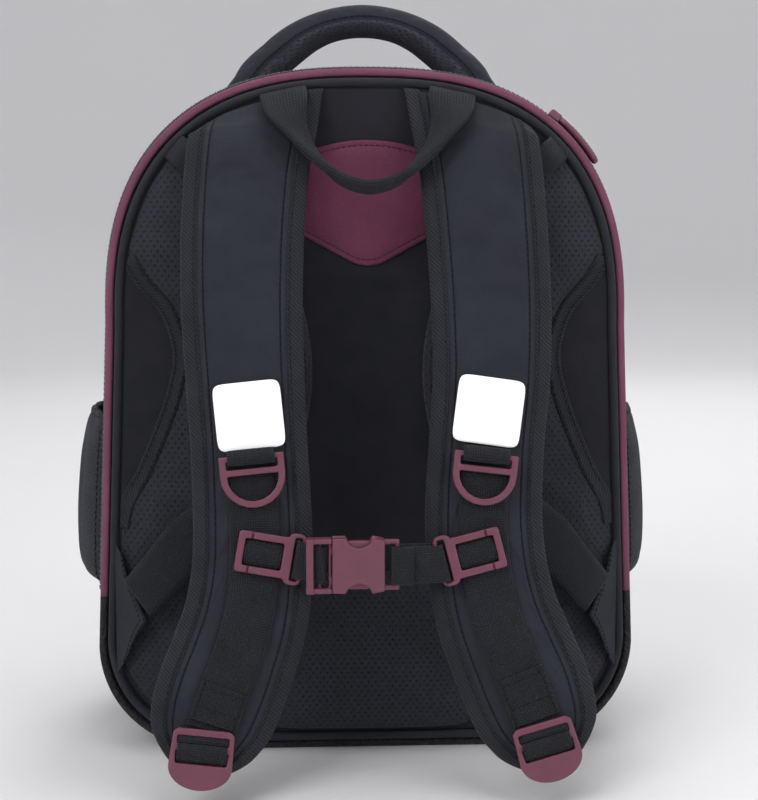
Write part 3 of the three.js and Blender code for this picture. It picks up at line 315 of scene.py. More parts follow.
def capsules(name, places, along, out, length, radius):
    """Small rounded rods, one at each place: stitches, zip teeth."""
    along = unit(along)
    out = unit(out - along * np.sum(out * along, 1, keepdims=True))
    cross = np.cross(along, out)
    grid = []
    for far, wide in ROD:
        for a in turns(ROD_SIDES):
            round_about = out * math.sin(a) + cross * math.cos(a)
            grid.append(along * (far * length) + round_about * (radius * wide))
    verts = places[:, None] + np.stack(grid, 1)
    per = len(ROD) * ROD_SIDES
    face = []
    for r in range(0, per - ROD_SIDES, ROD_SIDES):
        for k in range(ROD_SIDES):
            k2 = (k + 1) % ROD_SIDES
            face.append((r + k, r + k2, r + ROD_SIDES + k2, r + ROD_SIDES + k))
    quads = (np.array(face)[None] + per * np.arange(len(places))[:, None, None]).reshape(-1, 4).tolist()
    ends = [list(range(ROD_SIDES))[::-1], list(range(per - ROD_SIDES, per))]
    caps = [[per * i + k for k in end] for i in range(len(places)) for end in ends]
    obj = new_object(name, verts, quads + caps)
    obj.data.uv_layers.new(name="UVMap")
    tidy_normals(obj)
    return obj


STITCH = {"pitch": 3.4, "length": 2.7, "radius": 0.36}


def stitches(name, lines, pitch=STITCH["pitch"], length=STITCH["length"], radius=STITCH["radius"]):
    """Rows of thread along lines, each given as its points and the directions out of the cloth."""
    places, ways, outs = [], [], []
    for points, out in lines:
        spots = spaced(points, pitch)
        places.append(pick(points, spots))
        ways.append(pick(np.gradient(points, axis=0), spots))
        outs.append(pick(np.broadcast_to(out, points.shape), spots))
    return capsules(name, *(np.concatenate(v) for v in (places, ways, outs)), length, radius)


def dress(obj, slot, paint, *nodes, body="pack"):
    """Puts a finish on a piece, hangs it on the empty of the body that carries it, and hides the nodes it
    stands for.
    """
    for one in paint if isinstance(paint, (list, tuple)) else [paint]:
        obj.data.materials.append(one)
    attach(obj, body)
    if nodes:
        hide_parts(*nodes)
    return obj


CELL = 0.42


def moulded(node, softened, body="pack"):
    """A moulded piece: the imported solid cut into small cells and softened, so that its edges turn round."""
    obj = node_copy(node, "_moulded")
    cells = obj.modifiers.new("cells", "REMESH")
    cells.mode = "VOXEL"
    cells.voxel_size = CELL * MM
    cells.use_smooth_shade = True
    soften = obj.modifiers.new("soften", "SMOOTH")
    soften.factor = 0.5
    soften.iterations = softened
    return dress(obj, "plastic", PLASTIC, node, body=body)


def sewn(points, columns, first, last):
    """Numbers of a grid's points that are held: some columns, and the first and last rows."""
    index = np.arange(points[..., 0].size).reshape(points.shape[:2])
    return np.concatenate([index[:, columns].ravel(), index[:first].ravel(), index[-last:].ravel()])


FRAMES = 16
CLOTH = {
    "quality": 6, "mass": 0.3, "tension_stiffness": 30, "compression_stiffness": 30, "bending_stiffness": 2,
    "vertex_group_mass": "sewn", "use_pressure": True,
}
SWELL = {
    # pressure, furthest move in millimetres, how much spare cloth
    "side": (5.0, 1.4, 0.015), "lumbar": (5.0, 1.6, 0.01), "handle": (3.0, 0.5, 0.015),
    "strap": (3.0, 0.9, 0.012),
}


def inflate(pieces):
    """Runs padded pieces as cloth under pressure, all at once, and keeps the shapes that they reach.

    Each is (object, held points, row of SWELL)."""
    for obj, held, (pressure, _, spare) in pieces:
        group = obj.vertex_groups.new(name="sewn")
        group.add([int(i) for i in held], 1, "REPLACE")
        cloth = obj.modifiers.new("Cloth", "CLOTH")
        cloth.point_cache.frame_start = 1
        cloth.point_cache.frame_end = FRAMES
        cloth.collision_settings.use_collision = False
        for key, value in CLOTH.items():
            setattr(cloth.settings, key, value)
        cloth.settings.shrink_min = -spare
        cloth.settings.uniform_pressure_force = pressure
        cloth.settings.effector_weights.gravity = 0
    for step in range(1, FRAMES + 1):
        scene.frame_set(step)
    graph = bpy.context.evaluated_depsgraph_get()
    for obj, _, (_, furthest, _) in pieces:
        before = read(obj.data.vertices, "co", 3)
        move = read(obj.evaluated_get(graph).data.vertices, "co", 3) - before
        far = np.linalg.norm(move, axis=1, keepdims=True)
        move *= np.minimum(1, furthest * MM / np.maximum(far, 1e-9))
        obj.modifiers.remove(obj.modifiers["Cloth"])
        obj.data.vertices.foreach_set("co", (before + move).ravel())
        obj.data.update()
    scene.frame_set(1)


SHARP = math.radians(80)


def subdivide(obj):
    """Makes a mesh finer once, and keeps its sharp outer edges where they are."""
    with editing(obj) as edit:
        crease = edit.edges.layers.float.new("crease_edge")
        for edge in edit.edges:
            edge[crease] = float(edge.calc_face_angle(0) > SHARP)
    finer = obj.modifiers.new("finer", "SUBSURF")
    finer.levels = finer.render_levels = 1


# Materials

def tone(red, green, blue):
    """A colour from its display values of 0 to 255, as the shader reads it."""
    linear = lambda v: v / 12.92 if v <= 0.04045 else ((v + 0.055) / 1.055) ** 2.4
    return (*(linear(v / 255) for v in (red, green, blue)), 1.0)


def shade(colour, share, lift=0.0):
    """A colour made darker or paler."""
    return (*(min(1, c * share + lift) for c in colour[:3]), 1)


class Finish:
    """A material whose nodes are added one call at a time."""

    def __init__(self, name, roughness, sheen=0.0, gloss=0.5):
        self.material = bpy.data.materials.new(name)
        self.material.use_nodes = True
        self.tree = self.material.node_tree
        self.surface = self.tree.nodes["Principled BSDF"]
        self.set({"Roughness": roughness, "Specular IOR Level": gloss})
        self.set({"Sheen Weight": sheen, "Sheen Roughness": 0.45})

    def set(self, values):
        for key, value in values.items():
            self.surface.inputs[key].default_value = value

    def add(self, kind, values=(), out=0, **settings):
        node = self.tree.nodes.new("ShaderNode" + kind)
        for key, value in settings.items():
            setattr(node, key, value)
        for key, value in dict(values).items():
            if isinstance(value, bpy.types.NodeSocket):
                self.tree.links.new(value, node.inputs[key])
            else:
                node.inputs[key].default_value = value
        return node.outputs[out]

    def math(self, operation, a, b=0.0):
        return self.add("Math", {0: a, 1: b}, operation=operation)

    def vector(self, operation, a, b):
        return self.add("VectorMath", {0: a, 1: b}, operation=operation)

    def millimetres(self):
        return self.vector("MULTIPLY", self.add("UVMap"), (1000, 1000, 0))

    def noise(self, vector, size, detail):
        return self.add("TexNoise", {"Vector": vector, "Scale": 1 / size, "Detail": detail})

    def range(self, value, low, high, to_low=0.0, to_high=1.0, kind="SMOOTHSTEP"):
        ends = {"Value": value, "From Min": low, "From Max": high, "To Min": to_low, "To Max": to_high}
        return self.add("MapRange", ends, interpolation_type=kind)

    def uneven(self, vector, size, detail, low, high):
        return self.range(self.noise(vector, size, detail), 0.3, 0.7, low, high, "LINEAR")

    def mix(self, factor, a, b, blend="MIX"):
        return self.add("Mix", {0: factor, 6: a, 7: b}, out=2, data_type="RGBA", blend_type=blend)

    def put(self, socket, value):
        self.tree.links.new(value, self.surface.inputs[socket])

    def bump(self, height, distance, strength=1.0, under=None):
        values = {"Height": height, "Distance": distance * MM, "Strength": strength}
        if under is not None:
            values["Normal"] = under
        return self.add("Bump", values)


def twill(pitch):
    """A weave of ribs on the bias, with its height from 0 to 1."""
    def weave(f, mm):
        u, v = (f.add("SeparateXYZ", {0: mm}, out=k) for k in (0, 1))
        turn = 2 * math.pi / pitch
        way = f.math("ADD", f.math("MULTIPLY", u, turn), f.math("MULTIPLY", v, turn))
        return f.add("Math", {0: f.math("SINE", way), 1: 0.5, 2: 0.5}, operation="MULTIPLY_ADD")
    return weave


def plain(pitch):
    """A weave of small bumps in a grid, with its height from 0 to 1."""
    def weave(f, mm):
        bumps = []
        for k in (0, 1):
            way = f.math("MULTIPLY", f.add("SeparateXYZ", {0: mm}, out=k), math.pi / pitch)
            bumps.append(f.math("ABSOLUTE", f.math("SINE", way)))
        return f.math("MULTIPLY", *bumps)
    return weave


def pebbles(size):
    """A grain of rounded pebbles, with its height from 0 to 1."""
    def weave(f, mm):
        near = f.add("TexVoronoi", {"Vector": mm, "Scale": 1 / size}, feature="SMOOTH_F1")
        return f.range(near, 0.1, 0.6, 1.0, 0.0)
    return weave


def perforations(f, mm, pitch_u, pitch_v, radius):
    """1 on the cloth and 0 in the holes of a staggered pattern."""
    near = []
    for shift in (0.0, 0.5):
        cell = f.vector("ADD", f.vector("DIVIDE", mm, (pitch_u, pitch_v, 1)), (shift, shift, 0))
        off = f.vector("SUBTRACT", f.vector("FRACTION", cell, (0, 0, 0)), (0.5, 0.5, 0))
        off = f.vector("MULTIPLY", off, (pitch_u, pitch_v, 0))
        near.append(f.add("VectorMath", {0: off}, "Value", operation="LENGTH"))
    return f.range(f.math("MINIMUM", *near), radius * 0.6, radius * 1.25)


BLOTCH, FUZZ, CREASE, GLOSS = 45, 0.8, 22, 12  # sizes of the cloth's unevenness, in millimetres


def fabric(name, colour, weave, depth, roughness=0.85, sheen=0.06, valley_shade=0.35, blotch=0.16, holes=None):
    """Woven cloth: a weave with painted shade in its valleys and holes, uneven dye and a soft nap."""
    f = Finish(name, roughness, sheen, 0.25)
    mm = f.millimetres()
    height = weave(f, mm)
    # painted shade: the weave's valleys are darkened, for the shade that falls in them
    base = f.mix(height, shade(colour, 1 - valley_shade), colour)
    dye = f.uneven(mm, BLOTCH, 4, 1 - blotch, 1 + blotch)
    fuzz = f.uneven(mm, FUZZ, 1, 0.9, 1.1)
    base = f.mix(1.0, base, f.math("MULTIPLY", dye, fuzz), "MULTIPLY")
    normal = f.bump(f.noise(mm, CREASE, 3), 0.5, 0.35)
    normal = f.bump(height, depth, 1.0, normal)
    if holes:
        cloth = perforations(f, mm, *holes)
        # painted shade: the holes get the cloth's colour at half, for the shade inside them
        base = f.mix(cloth, shade(colour, 0.5), base)
        normal = f.bump(cloth, 0.9, 1.0, normal)
    f.put("Base Color", base)
    f.put("Normal", normal)
    f.put("Roughness", f.uneven(mm, GLOSS, 3, roughness - 0.07, roughness + 0.07))
    return f.material


def plastic(name, colour, roughness=0.42):
    """Moulded plastic: a fine sparked texture, uneven gloss and paler rubbed edges."""
    f = Finish(name, roughness)
    mm = f.vector("MULTIPLY", f.add("TexCoord", out=3), (1000, 1000, 1000))
    edge = f.range(f.add("NewGeometry", out=7), 0.52, 0.62)
    base = f.mix(edge, colour, shade(colour, 1.35, 0.01))
    f.put("Base Color", f.mix(1.0, base, f.uneven(mm, 9, 3, 0.93, 1.07), "MULTIPLY"))
    f.put("Normal", f.bump(f.noise(mm, 0.35, 2), 0.05, 0.6))
    f.put("Roughness", f.uneven(mm, 4, 3, roughness - 0.06, roughness + 0.08))
    return f.material


def reflective():
    """Retroreflective sheet: a bright white face with a painted glow, over a fine honeycomb of cells."""
    f = Finish("reflective_sheet", 0.32)
    mm = f.millimetres()
    cells = perforations(f, mm, 1.5, 2.6, 0.55)
    f.put("Base Color", f.mix(cells, tone(240, 242, 244), tone(250, 250, 250)))
    f.put("Normal", f.bump(cells, 0.06, 0.5))
    f.put("Roughness", f.uneven(mm, 5, 2, 0.26, 0.4))
    # painted glow: a faint emission stands in for the light that the sheet sends back
    f.set({"Emission Color": (1, 1, 1, 1), "Emission Strength": 0.2})
    return f.material


GREY = tone(43, 46, 55)
DARK = tone(32, 33, 40)
MESH_GREY = tone(49, 51, 59)
TAPE_GREY = tone(45, 47, 54)
BOOT_GREY = tone(46, 46, 51)
PINK = tone(108, 57, 75)
PINK_CLOTH = tone(130, 78, 100)
PINK_LABEL = tone(106, 49, 74)
HOLES = (3.8, 5.2, 0.62)  # pitch across, pitch up and radius

BODY = fabric("body_cloth", GREY, plain(0.75), 0.1, blotch=0.08)
PANEL = fabric("panel_cloth", DARK, plain(0.7), 0.08, roughness=0.75, valley_shade=0.25)
AIR = fabric("air_mesh", MESH_GREY, plain(0.6), 0.1, holes=HOLES)
# painted light: a paler copy of the mesh grey for the handle, whose meshed face turns down into shade
LIT_HANDLE_MESH = fabric("handle_mesh_painted_light", tone(66, 68, 77), plain(0.6), 0.1, holes=HOLES)
POCKET_CLOTH = fabric("pocket_mesh", MESH_GREY, plain(0.6), 0.1, holes=(3.2, 4.4, 0.5))
STRAP = fabric("strap_cloth", GREY, plain(0.7), 0.08, roughness=0.78)
BINDING = fabric("binding_twill", TAPE_GREY, twill(2.2), 0.2, valley_shade=0.6)
WEBBING = fabric("webbing_weave", TAPE_GREY, plain(1.2), 0.3, valley_shade=0.75)
PIPING = fabric("piping_cloth", TAPE_GREY, twill(0.8), 0.08)
BOOT = fabric("boot_texture", BOOT_GREY, pebbles(1.7), 0.5, roughness=0.7, valley_shade=0.5)
TRIM = fabric("trim_twill", PINK_CLOTH, twill(0.9), 0.1, valley_shade=0.3)
LABEL = fabric("label_face", PINK_LABEL, pebbles(0.8), 0.08, roughness=0.55, valley_shade=0.15, sheen=0.0)
THREAD = fabric("thread", tone(13, 13, 16), twill(0.5), 0.05, valley_shade=0.3)
PINK_THREAD = fabric("pink_thread", tone(74, 40, 54), twill(0.5), 0.05, valley_shade=0.3)
COIL = plastic("zip_coil", tone(74, 76, 82), 0.5)
PLASTIC = plastic("pink_plastic", PINK)
REFLECTIVE = reflective()


def sew(name, slot, lines, *sizes, thread=THREAD):
    dress(stitches(name, lines, *sizes), slot, thread)


def webbing(obj, *nodes):
    dress(obj, "tape", WEBBING, *nodes)


def flat_piece(name, points, slot, paint, node, weld=False):
    """A dressed piece whose weave runs straight across and up."""
    obj = surface(name, points, weld=weld)
    flat_map(obj)
    return dress(obj, slot, paint, node)


# Body: shell, boot, board, piping, bands and zip

FRONT_Y = 82
SHELL = smooth(
    # y, drawn in at the sides, drawn in at the base
    [(MOUTH_Y, 0, 0), (30, 1.2, 0), (58, 3.7, 0), (72, 10, 5), (79, 22, 17), (FRONT_Y, 42, 37)],
    np.linspace(0, 1, 300),
)
WALL_ROWS = [(MOUTH_Y, 56, 26), (57, 68, 23), (69, 81.9, 22)]  # from, to and count of y, closer at the seam
FRONT_ROWS = (44, 138, 25)  # drawn in from, drawn in to, and count
BASE_LESS = 5  # the front is drawn in less at the base
CROWN = 0.9
SEAM_Y = 62
SEAM_DEEP = 0.9
OFF_BASE = run_at_height(12)  # stitching round the body stops short of the base


def shell_side(y):
    return np.interp(y, SHELL[:, 0], SHELL[:, 1]), np.interp(y, SHELL[:, 0], SHELL[:, 2])


def shell_ring(p, y, drawn):
    """Outline points on the shell's wall at a depth, drawn in a little further."""
    side, low = shell_side(y)
    return inset(p, y, side + drawn, low + drawn)


def body_shell():
    p, _ = outline(np.linspace(0, AROUND, 300, endpoint=False))
    rows = []
    for y in np.concatenate([np.linspace(*stretch) for stretch in WALL_ROWS]):
        seam = SEAM_DEEP * math.exp(-(((y - SEAM_Y) / SEAM_DEEP) ** 2))
        row = shell_ring(p, y, seam + SHELL_OUT)
        row[:, 1] += 0.35 * wobble(row[:, 0], row[:, 2], 60)
        rows.append(row)
    for drawn in np.linspace(*FRONT_ROWS):
        crown = CROWN * ease((drawn - FRONT_ROWS[0]) / 60)
        rows.append(inset(p, FRONT_Y + crown, drawn + SHELL_OUT, drawn - BASE_LESS + SHELL_OUT))
    obj = surface("body_shell_cloth", np.stack(rows), weld=True)
    flat_map(obj, beyond=76)
    dress(obj, "body_fabric", BODY, "body_shell")
    p, out = outline(np.linspace(OFF_BASE, AROUND - OFF_BASE, 400))
    lines = [(shell_ring(p, SEAM_Y + d, SHELL_OUT - 0.1), sideways(out, 0.3)) for d in (-2.2, 2.2)]
    sew("shell_stitches", "body_fabric", lines, 4.2, 3.3)


BOOT_THICK = 2.0
BOOT_ROWS = np.linspace(MOUTH_Y, 58, 34)


def base_boot():
    p, _ = outline(LOWER)
    skin = [shell_ring(p, y, 0) for y in BOOT_ROWS]
    skin.append(shell_ring(p, BOOT_ROWS[-1] + 0.6, BOOT_THICK / 2))
    skin += [shell_ring(p, y, BOOT_THICK) for y in BOOT_ROWS[::-1]]
    obj = surface("base_boot_cloth", np.stack(skin, 1))
    dress(obj, "boot_fabric", BOOT, "base_boot")
    lines = []
    for way in (-1, 1):
        p, out = outline(way * np.linspace(OFF_BASE, TRIM_RUN - 3, 60))
        facing = sideways(out)
        lines += [(shell_ring(p, y, -0.1), facing) for y in (MOUTH_Y + 3, 54.5)]
        hem = [shell_ring(p[-1:], y, -0.1)[0] for y in np.linspace(-68, 55, 40)]
        lines.append((np.array(hem), facing[-1]))
    sew("boot_stitches", "boot_fabric", lines, 4.0, 3.1, 0.4)


PIPING_IN = 7.8
PIPING_R = 2.25
BOARD_IN = 10.6
BAND_HALF = (2.3, 3.2)
BAND_MIDDLE = (2.4, -74.6)  # drawn in, y
CHANNEL = {"half": 8, "slope": 26, "low": 96, "high": 268, "ends": 14, "deep": 2.6}


def back_board():
    p, _ = outline(np.linspace(0, AROUND, 320, endpoint=False))
    edge = inset(p, BACK_Y, BOARD_IN)
    rows = [edge + [0, 9, 0], edge + [0, 1.2, 0], edge + [0, 0.3, 0]]
    middle = np.array([0, BACK_Y, 175])
    for share in np.linspace(0.993, 0.01, 64):
        row = middle + (edge - middle) * share
        x, z = row[:, 0], row[:, 2]
        across = 1 - ease((np.abs(x) - CHANNEL["half"]) / CHANNEL["slope"])
        up = ease((z - CHANNEL["low"]) / CHANNEL["ends"]) * ease((CHANNEL["high"] - z) / CHANNEL["ends"])
        row[:, 1] += CHANNEL["deep"] * across * up + 0.25 * wobble(x, z, 55)
        rows.append(row)
    flat_piece("back_board_cloth", np.stack(rows), "panel_fabric", PANEL, "back_board", weld=True)


def edge_trims():
    tube = rounded(PIPING_R, PIPING_R, PIPING_IN, BACK_Y, 2.0, 14)
    dress(surface("piping_cord", along_outline(WHOLE, tube), wrap_rows=True), "tape", PIPING, "piping")
    flat = rounded(*BAND_HALF, *BAND_MIDDLE, 3.0, 18)
    dress(surface("trim_band_cloth", along_outline(UPPER, flat)), "trim_fabric", TRIM, "trim_band")
    dress(surface("rim_band_cloth", along_outline(LOWER, flat)), "boot_fabric", BOOT, "rim_band")


ZIP_LOW, ZIP_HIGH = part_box("zip_tape")
ZIP_MID = (ZIP_LOW.y + ZIP_HIGH.y) / 2 / MM
ZIP_TAPE = {"thick": 1.0, "wide": 12.8, "in": 1.5}
TOOTH = {"pitch": 1.5, "length": 2.8, "radius": 0.85, "out": 1.1, "apart": 0.8}


def zip_fastener():
    tape = rounded(ZIP_TAPE["thick"] / 2, ZIP_TAPE["wide"] / 2, ZIP_TAPE["in"], ZIP_MID, 6, 20)
    dress(surface("zip_tape_cloth", along_outline(UPPER, tape)), "tape", BINDING, "zip_tape")
    count = int((UPPER[-1] - UPPER[0]) // TOOTH["pitch"])
    p, out = outline(np.linspace(UPPER[0] + 2, UPPER[-1] - 2, count))
    places = inset(p, ZIP_MID, -TOOTH["out"])
    places[:, 1] += np.where(np.arange(count) % 2, TOOTH["apart"], -TOOTH["apart"])
    teeth = capsules("zip_teeth", places, -OUTWARD, sideways(out), TOOTH["length"], TOOTH["radius"])
    dress(teeth, "tape", COIL)
    moulded("zip_slider", 12)


PULL = {"half": 5.0, "thick": 1.8, "out": 3.6, "lean": 2.4, "ribs": 8, "corner": 0.6}


def zip_pull():
    low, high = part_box("zip_pull")
    p, out = outline(np.linspace(run_at_height(low.z / MM + 1), run_at_height(high.z / MM - 1), 60))
    share = np.linspace(0, 1, len(p))
    blunt = np.sqrt(np.clip(1 - np.abs(2 * share - 1) ** 8, 0.02, 1))
    half = PULL["half"] * blunt * (1 - 0.4 * ease((share - 0.78) / 0.15))
    ribs = np.sin(share * 2 * math.pi * PULL["ribs"]) ** 2 * (share < 0.7)
    thick = PULL["thick"] * blunt ** 0.5 + 0.25 * ribs
    facing = sideways(out)
    middle = inset(p, ZIP_MID, 0) + facing * PULL["out"] - np.outer(1 - share, [0, PULL["lean"], 0])
    rows = []
    for a in turns(20):
        sine, cosine = (squared(f, PULL["corner"]) for f in (math.sin(a), math.cos(a)))
        rows.append(middle + facing * (thick * cosine)[:, None] + np.outer(half * sine, [0, 1, 0]))
    dress(surface("zip_pull_rubber", np.stack(rows, 1)), "plastic", PLASTIC, "zip_pull")


# Padding on the back panel

def board_edge(z):
    """Half width of the back board at heights."""
    height = (np.asarray(z, float) - BOARD_IN) * HEIGHT / (HEIGHT - 2 * BOARD_IN)
    return np.interp(height, RIGHT_LINE[:, 1], RIGHT_LINE[:, 0]) * (1 - BOARD_IN / FOOT_HALF)


PAD_Y = BACK_Y - 0.3
PAD_HEIGHT = 10
SIDE_PAD_HEIGHT = PAD_HEIGHT - 0.8
SIDE_PAD = [
    # z, outer edge, inner edge, share of the height
    (335, 98.6, 89, 0.3), (326, 107, 71, 0.75), (310, 117.3, 58, 1), (290, 125, 50, 1),
    (276, 128.2, 45, 1), (262, 121, 40, 1), (246, 108, 34.5, 1), (224, 101.5, 30.6, 1),
    (203, 104.5, 30.4, 1), (180, 112.5, 34.2, 1), (158, 122, 42, 1), (138, 132.5, 50, 1),
    (112, 135.4, 60, 1), (80, 136.3, 64, 1), (54, 134.5, 66, 1), (34, 125, 68, 0.85),
    (20, 110, 74, 0.4),
]
PAD_PROFILE = [
    # share of the way from the inner to the outer edge, share of the height
    (0, 0), (0.02, 0.5), (0.07, 0.78), (0.16, 0.93), (0.33, 0.99), (0.5, 1), (0.64, 0.95), (0.76, 0.83),
    (0.85, 0.64), (0.92, 0.42), (0.97, 0.22), (1, 0.09),
]


def side_pad(label, side):
    rows = smooth(SIDE_PAD, np.linspace(0, 1, 92))
    spread = np.linspace(0, 1, 37)
    profile = np.interp(spread, *np.array(PAD_PROFILE).T)
    x = rows[:, 2:3] + (rows[:, 1:2] - rows[:, 2:3]) * spread
    x = np.minimum(x, board_edge(rows[:, :1]) - 0.3)
    y = PAD_Y - SIDE_PAD_HEIGHT * rows[:, 3:4] * profile
    z = np.broadcast_to(rows[:, :1], x.shape)
    points = np.stack([side * x, y, z], 2)
    obj = flat_piece(f"pad_{label}_mesh", points, "air_mesh", AIR, f"pad_{label}")
    seam = points[10:-10, 2] + OUTWARD * 0.15
    sew(f"pad_stitches_{label}", "air_mesh", [(seam, OUTWARD)])
    return obj, sewn(points, np.r_[0:3, -6:0], 2, 2), SWELL["side"]


LUMBAR = {"half": 58, "low": 11.6, "high": 103, "height": PAD_HEIGHT - 1.2, "corner": 14}


def lumbar_pad():
    low, high, power = LUMBAR["low"], LUMBAR["high"], LUMBAR["corner"]
    rows = np.linspace(-1, 1, 61)[1:-1, None]
    spread = np.linspace(-1, 1, 71)
    width = np.clip(1 - np.abs(rows) ** power, 0, 1) ** (1 / power)
    x = LUMBAR["half"] * width * spread
    across = np.sqrt(np.clip(1 - np.abs(spread) ** 6, 0, 1))
    up = np.sqrt(np.clip(1.02 - np.abs(rows) ** 7, 0, 1))
    z = np.broadcast_to((low + high) / 2 + (high - low) / 2 * rows, x.shape)
    points = np.stack([x, PAD_Y - LUMBAR["height"] * across * up, z], 2)
    obj = flat_piece("lumbar_pad_mesh", points, "air_mesh", AIR, "lumbar_pad")
    return obj, sewn(points, [0, 1, -2, -1], 2, 2), SWELL["lumbar"]


PAD_TAPE = {"inside": 3.6, "outside": 4.4, "thick": 1.1, "top": 275.5, "bottom": 127}


def pad_tape(label, side):
    """Tape sewn over the outer edge of a side pad, half on the pad and half on the board."""
    pad = smooth(SIDE_PAD, np.linspace(0, 1, 400))
    rows = pad[(pad[:, 0] < PAD_TAPE["top"]) & (pad[:, 0] > PAD_TAPE["bottom"])][::2]
    edge = rows[:, [1, 0]]
    along = unit(np.gradient(edge, axis=0))
    out = np.stack([-along[:, 1], along[:, 0]], 1)

    def line(across, lift):
        flat = edge + out * across
        flat[:, 0] = np.minimum(flat[:, 0], board_edge(flat[:, 1]) - 0.5)
        outer, inner, high = (np.interp(-flat[:, 1], -pad[:, 0], pad[:, k]) for k in (1, 2, 3))
        share = (flat[:, 0] - inner) / (outer - inner)
        under = SIDE_PAD_HEIGHT * high * np.interp(share, *np.array(PAD_PROFILE).T)
        under *= np.exp(-np.maximum(flat[:, 0] - outer, 0) / 1.5)
        return np.stack([side * flat[:, 0], PAD_Y - under - lift, flat[:, 1]], 1)

    spread = np.linspace(-PAD_TAPE["inside"], PAD_TAPE["outside"], 13)
    bulge = 1 - 0.5 * np.abs(np.linspace(-1, 1, 13)) ** 6
    top = [line(d, 0.3 + PAD_TAPE["thick"] * b) for d, b in zip(spread, bulge)]
    under = [line(d, 0.3) for d in spread[::-1]]
    obj = surface(f"pad_tape_{label}_weave", np.stack(top + under, 1))
    dress(obj, "tape", BINDING, f"pad_tape_{label}")
    lines = [(line(d, 0.35 + PAD_TAPE["thick"])[3:-12], OUTWARD) for d in (-2.4, 2.6)]
    sew(f"pad_tape_{label}_stitches", "tape", lines)


LABEL_SIZE = {"half": 38, "side_top": 329, "crown": 337.5, "side_low": 288, "tip": 270}


def label_edge():
    s = LABEL_SIZE
    top = np.linspace(-1, 1, 60)
    arch = np.stack([s["half"] * top, s["side_top"] + (s["crown"] - s["side_top"]) * (1 - top**2)], 1)
    right = np.array([[s["half"], 318], [s["half"], 305], [s["half"], s["side_low"]]])
    point = np.array([[9, s["tip"] + 2.2], [5, s["tip"] + 0.6], [0, s["tip"]]])
    half = np.concatenate([right, point])
    loop = np.concatenate([arch, half, half[-2::-1] * [-1, 1]])
    loop = np.concatenate([loop, loop[:1]])
    return pick(loop, spaced(loop, 1.2))


LABEL_MIDDLE = np.array([0, 306.0])
LABEL_REACH = 34  # about as far as the edge is from the middle
LABEL_ROWS = [
    # drawn in from the edge, height
    (0, 0), (0, 1.0), (0.5, 1.4), (2, 1.6), (3, 1.25), (4, 1.6), (9, 1.9), (20, 2.1), (33, 2.1),
]


def label_patch():
    loop = label_edge()

    def ring(drawn, high):
        flat = LABEL_MIDDLE + (loop - LABEL_MIDDLE) * (1 - drawn / LABEL_REACH)
        return np.stack([flat[:, 0], np.full(len(loop), PAD_Y - high), flat[:, 1]], 1)

    rows = [ring(*place) for place in LABEL_ROWS]
    flat_piece("label_patch_face", np.stack(rows), "label", LABEL, "label_patch")
    seam = ring(3, 1.4)
    seam = np.concatenate([seam, seam[:1]])
    sew("label_stitches", "label", [(seam, OUTWARD)], 3.0, 2.4, thread=PINK_THREAD)


# Side pockets, handle and haul loop

POCKET = {"from": -52, "to": 42, "thick": 2, "pleats": (-26, 18), "pleat": 1.6, "pleat_wide": 3.2}
GATHER = {"from": 165, "over": 20, "deep": 0.8}
HEM = {"down": 4.2, "wide": 10, "thick": 3.4, "seams": (2.0, 7.4)}
POCKET_ROWS = [
    # z, bulge
    (186, 14), (178, 18), (160, 22), (135, 23.5), (114, 23.3), (100, 22), (92.5, 18.5), (89.3, 11),
    (88.6, 3),
]


def pocket_skin(side, z, bulge, y, fold):
    f = np.clip((z - CORNER_R) / (SHOULDER_Z - CORNER_R), 0, 1)
    wall = (FOOT_HALF + (SHOULDER_HALF - FOOT_HALF) * f) * (1 - (SHELL_OUT + shell_side(y)[0]) / FOOT_HALF)
    share = (y - POCKET["from"]) / (POCKET["to"] - POCKET["from"])
    swell = np.clip(np.sin(np.pi * np.clip(share, 0, 1)), 0, 1) ** 0.55
    return side * (wall + 0.6 + np.maximum(bulge + fold, 0.2) * swell)


def side_pocket(label, side):
    rows = smooth(POCKET_ROWS, np.linspace(0, 1, 46))
    ys = np.linspace(POCKET["from"], POCKET["to"], 44)
    z = np.broadcast_to(rows[:, :1], (len(rows), len(ys)))
    y = np.broadcast_to(ys, z.shape)
    gather = ease((z - GATHER["from"]) / GATHER["over"]) * GATHER["deep"] * np.sin(y / 2.6)
    near = sum(np.exp(-(((y - at) / POCKET["pleat_wide"]) ** 2)) for at in POCKET["pleats"])
    pleats = POCKET["pleat"] * near
    fold = gather - pleats * ease((rows[0, 0] - z) / 30) + 0.5 * wobble(y, z, 26)
    skins = [pocket_skin(side, z, rows[:, 1:] - under, y, fold) for under in (0, POCKET["thick"])]
    outer, inner = (np.stack([x, y, z], 2) for x in skins)
    obj = surface(f"side_pocket_{label}_mesh", np.concatenate([outer, inner[:, ::-1]], 1))
    flat_map(obj, 1, 2)
    dress(obj, "air_mesh", POCKET_CLOTH, f"side_pocket_{label}")
    rim = outer[0]
    hem = band(f"pocket_hem_{label}", rim - UPWARD * HEM["down"], UPWARD, HEM["wide"], HEM["thick"])
    dress(hem, "tape", BINDING)
    out = np.array([side, 0.0, 0.0])
    lines = [(rim - UPWARD * d + out * 1.75, out) for d in HEM["seams"]]
    for edge, way in [(outer[6:-2, 2], -1), (outer[6:-2, -3], 1)]:
        lines.append((edge + out * 0.2, np.array([side, way, 0.0])))
    lines.append((outer[-4, 3:-3] + out * 0.2, np.array([side, 0.0, -1.0])))
    sew(f"pocket_stitches_{label}", "tape", lines)


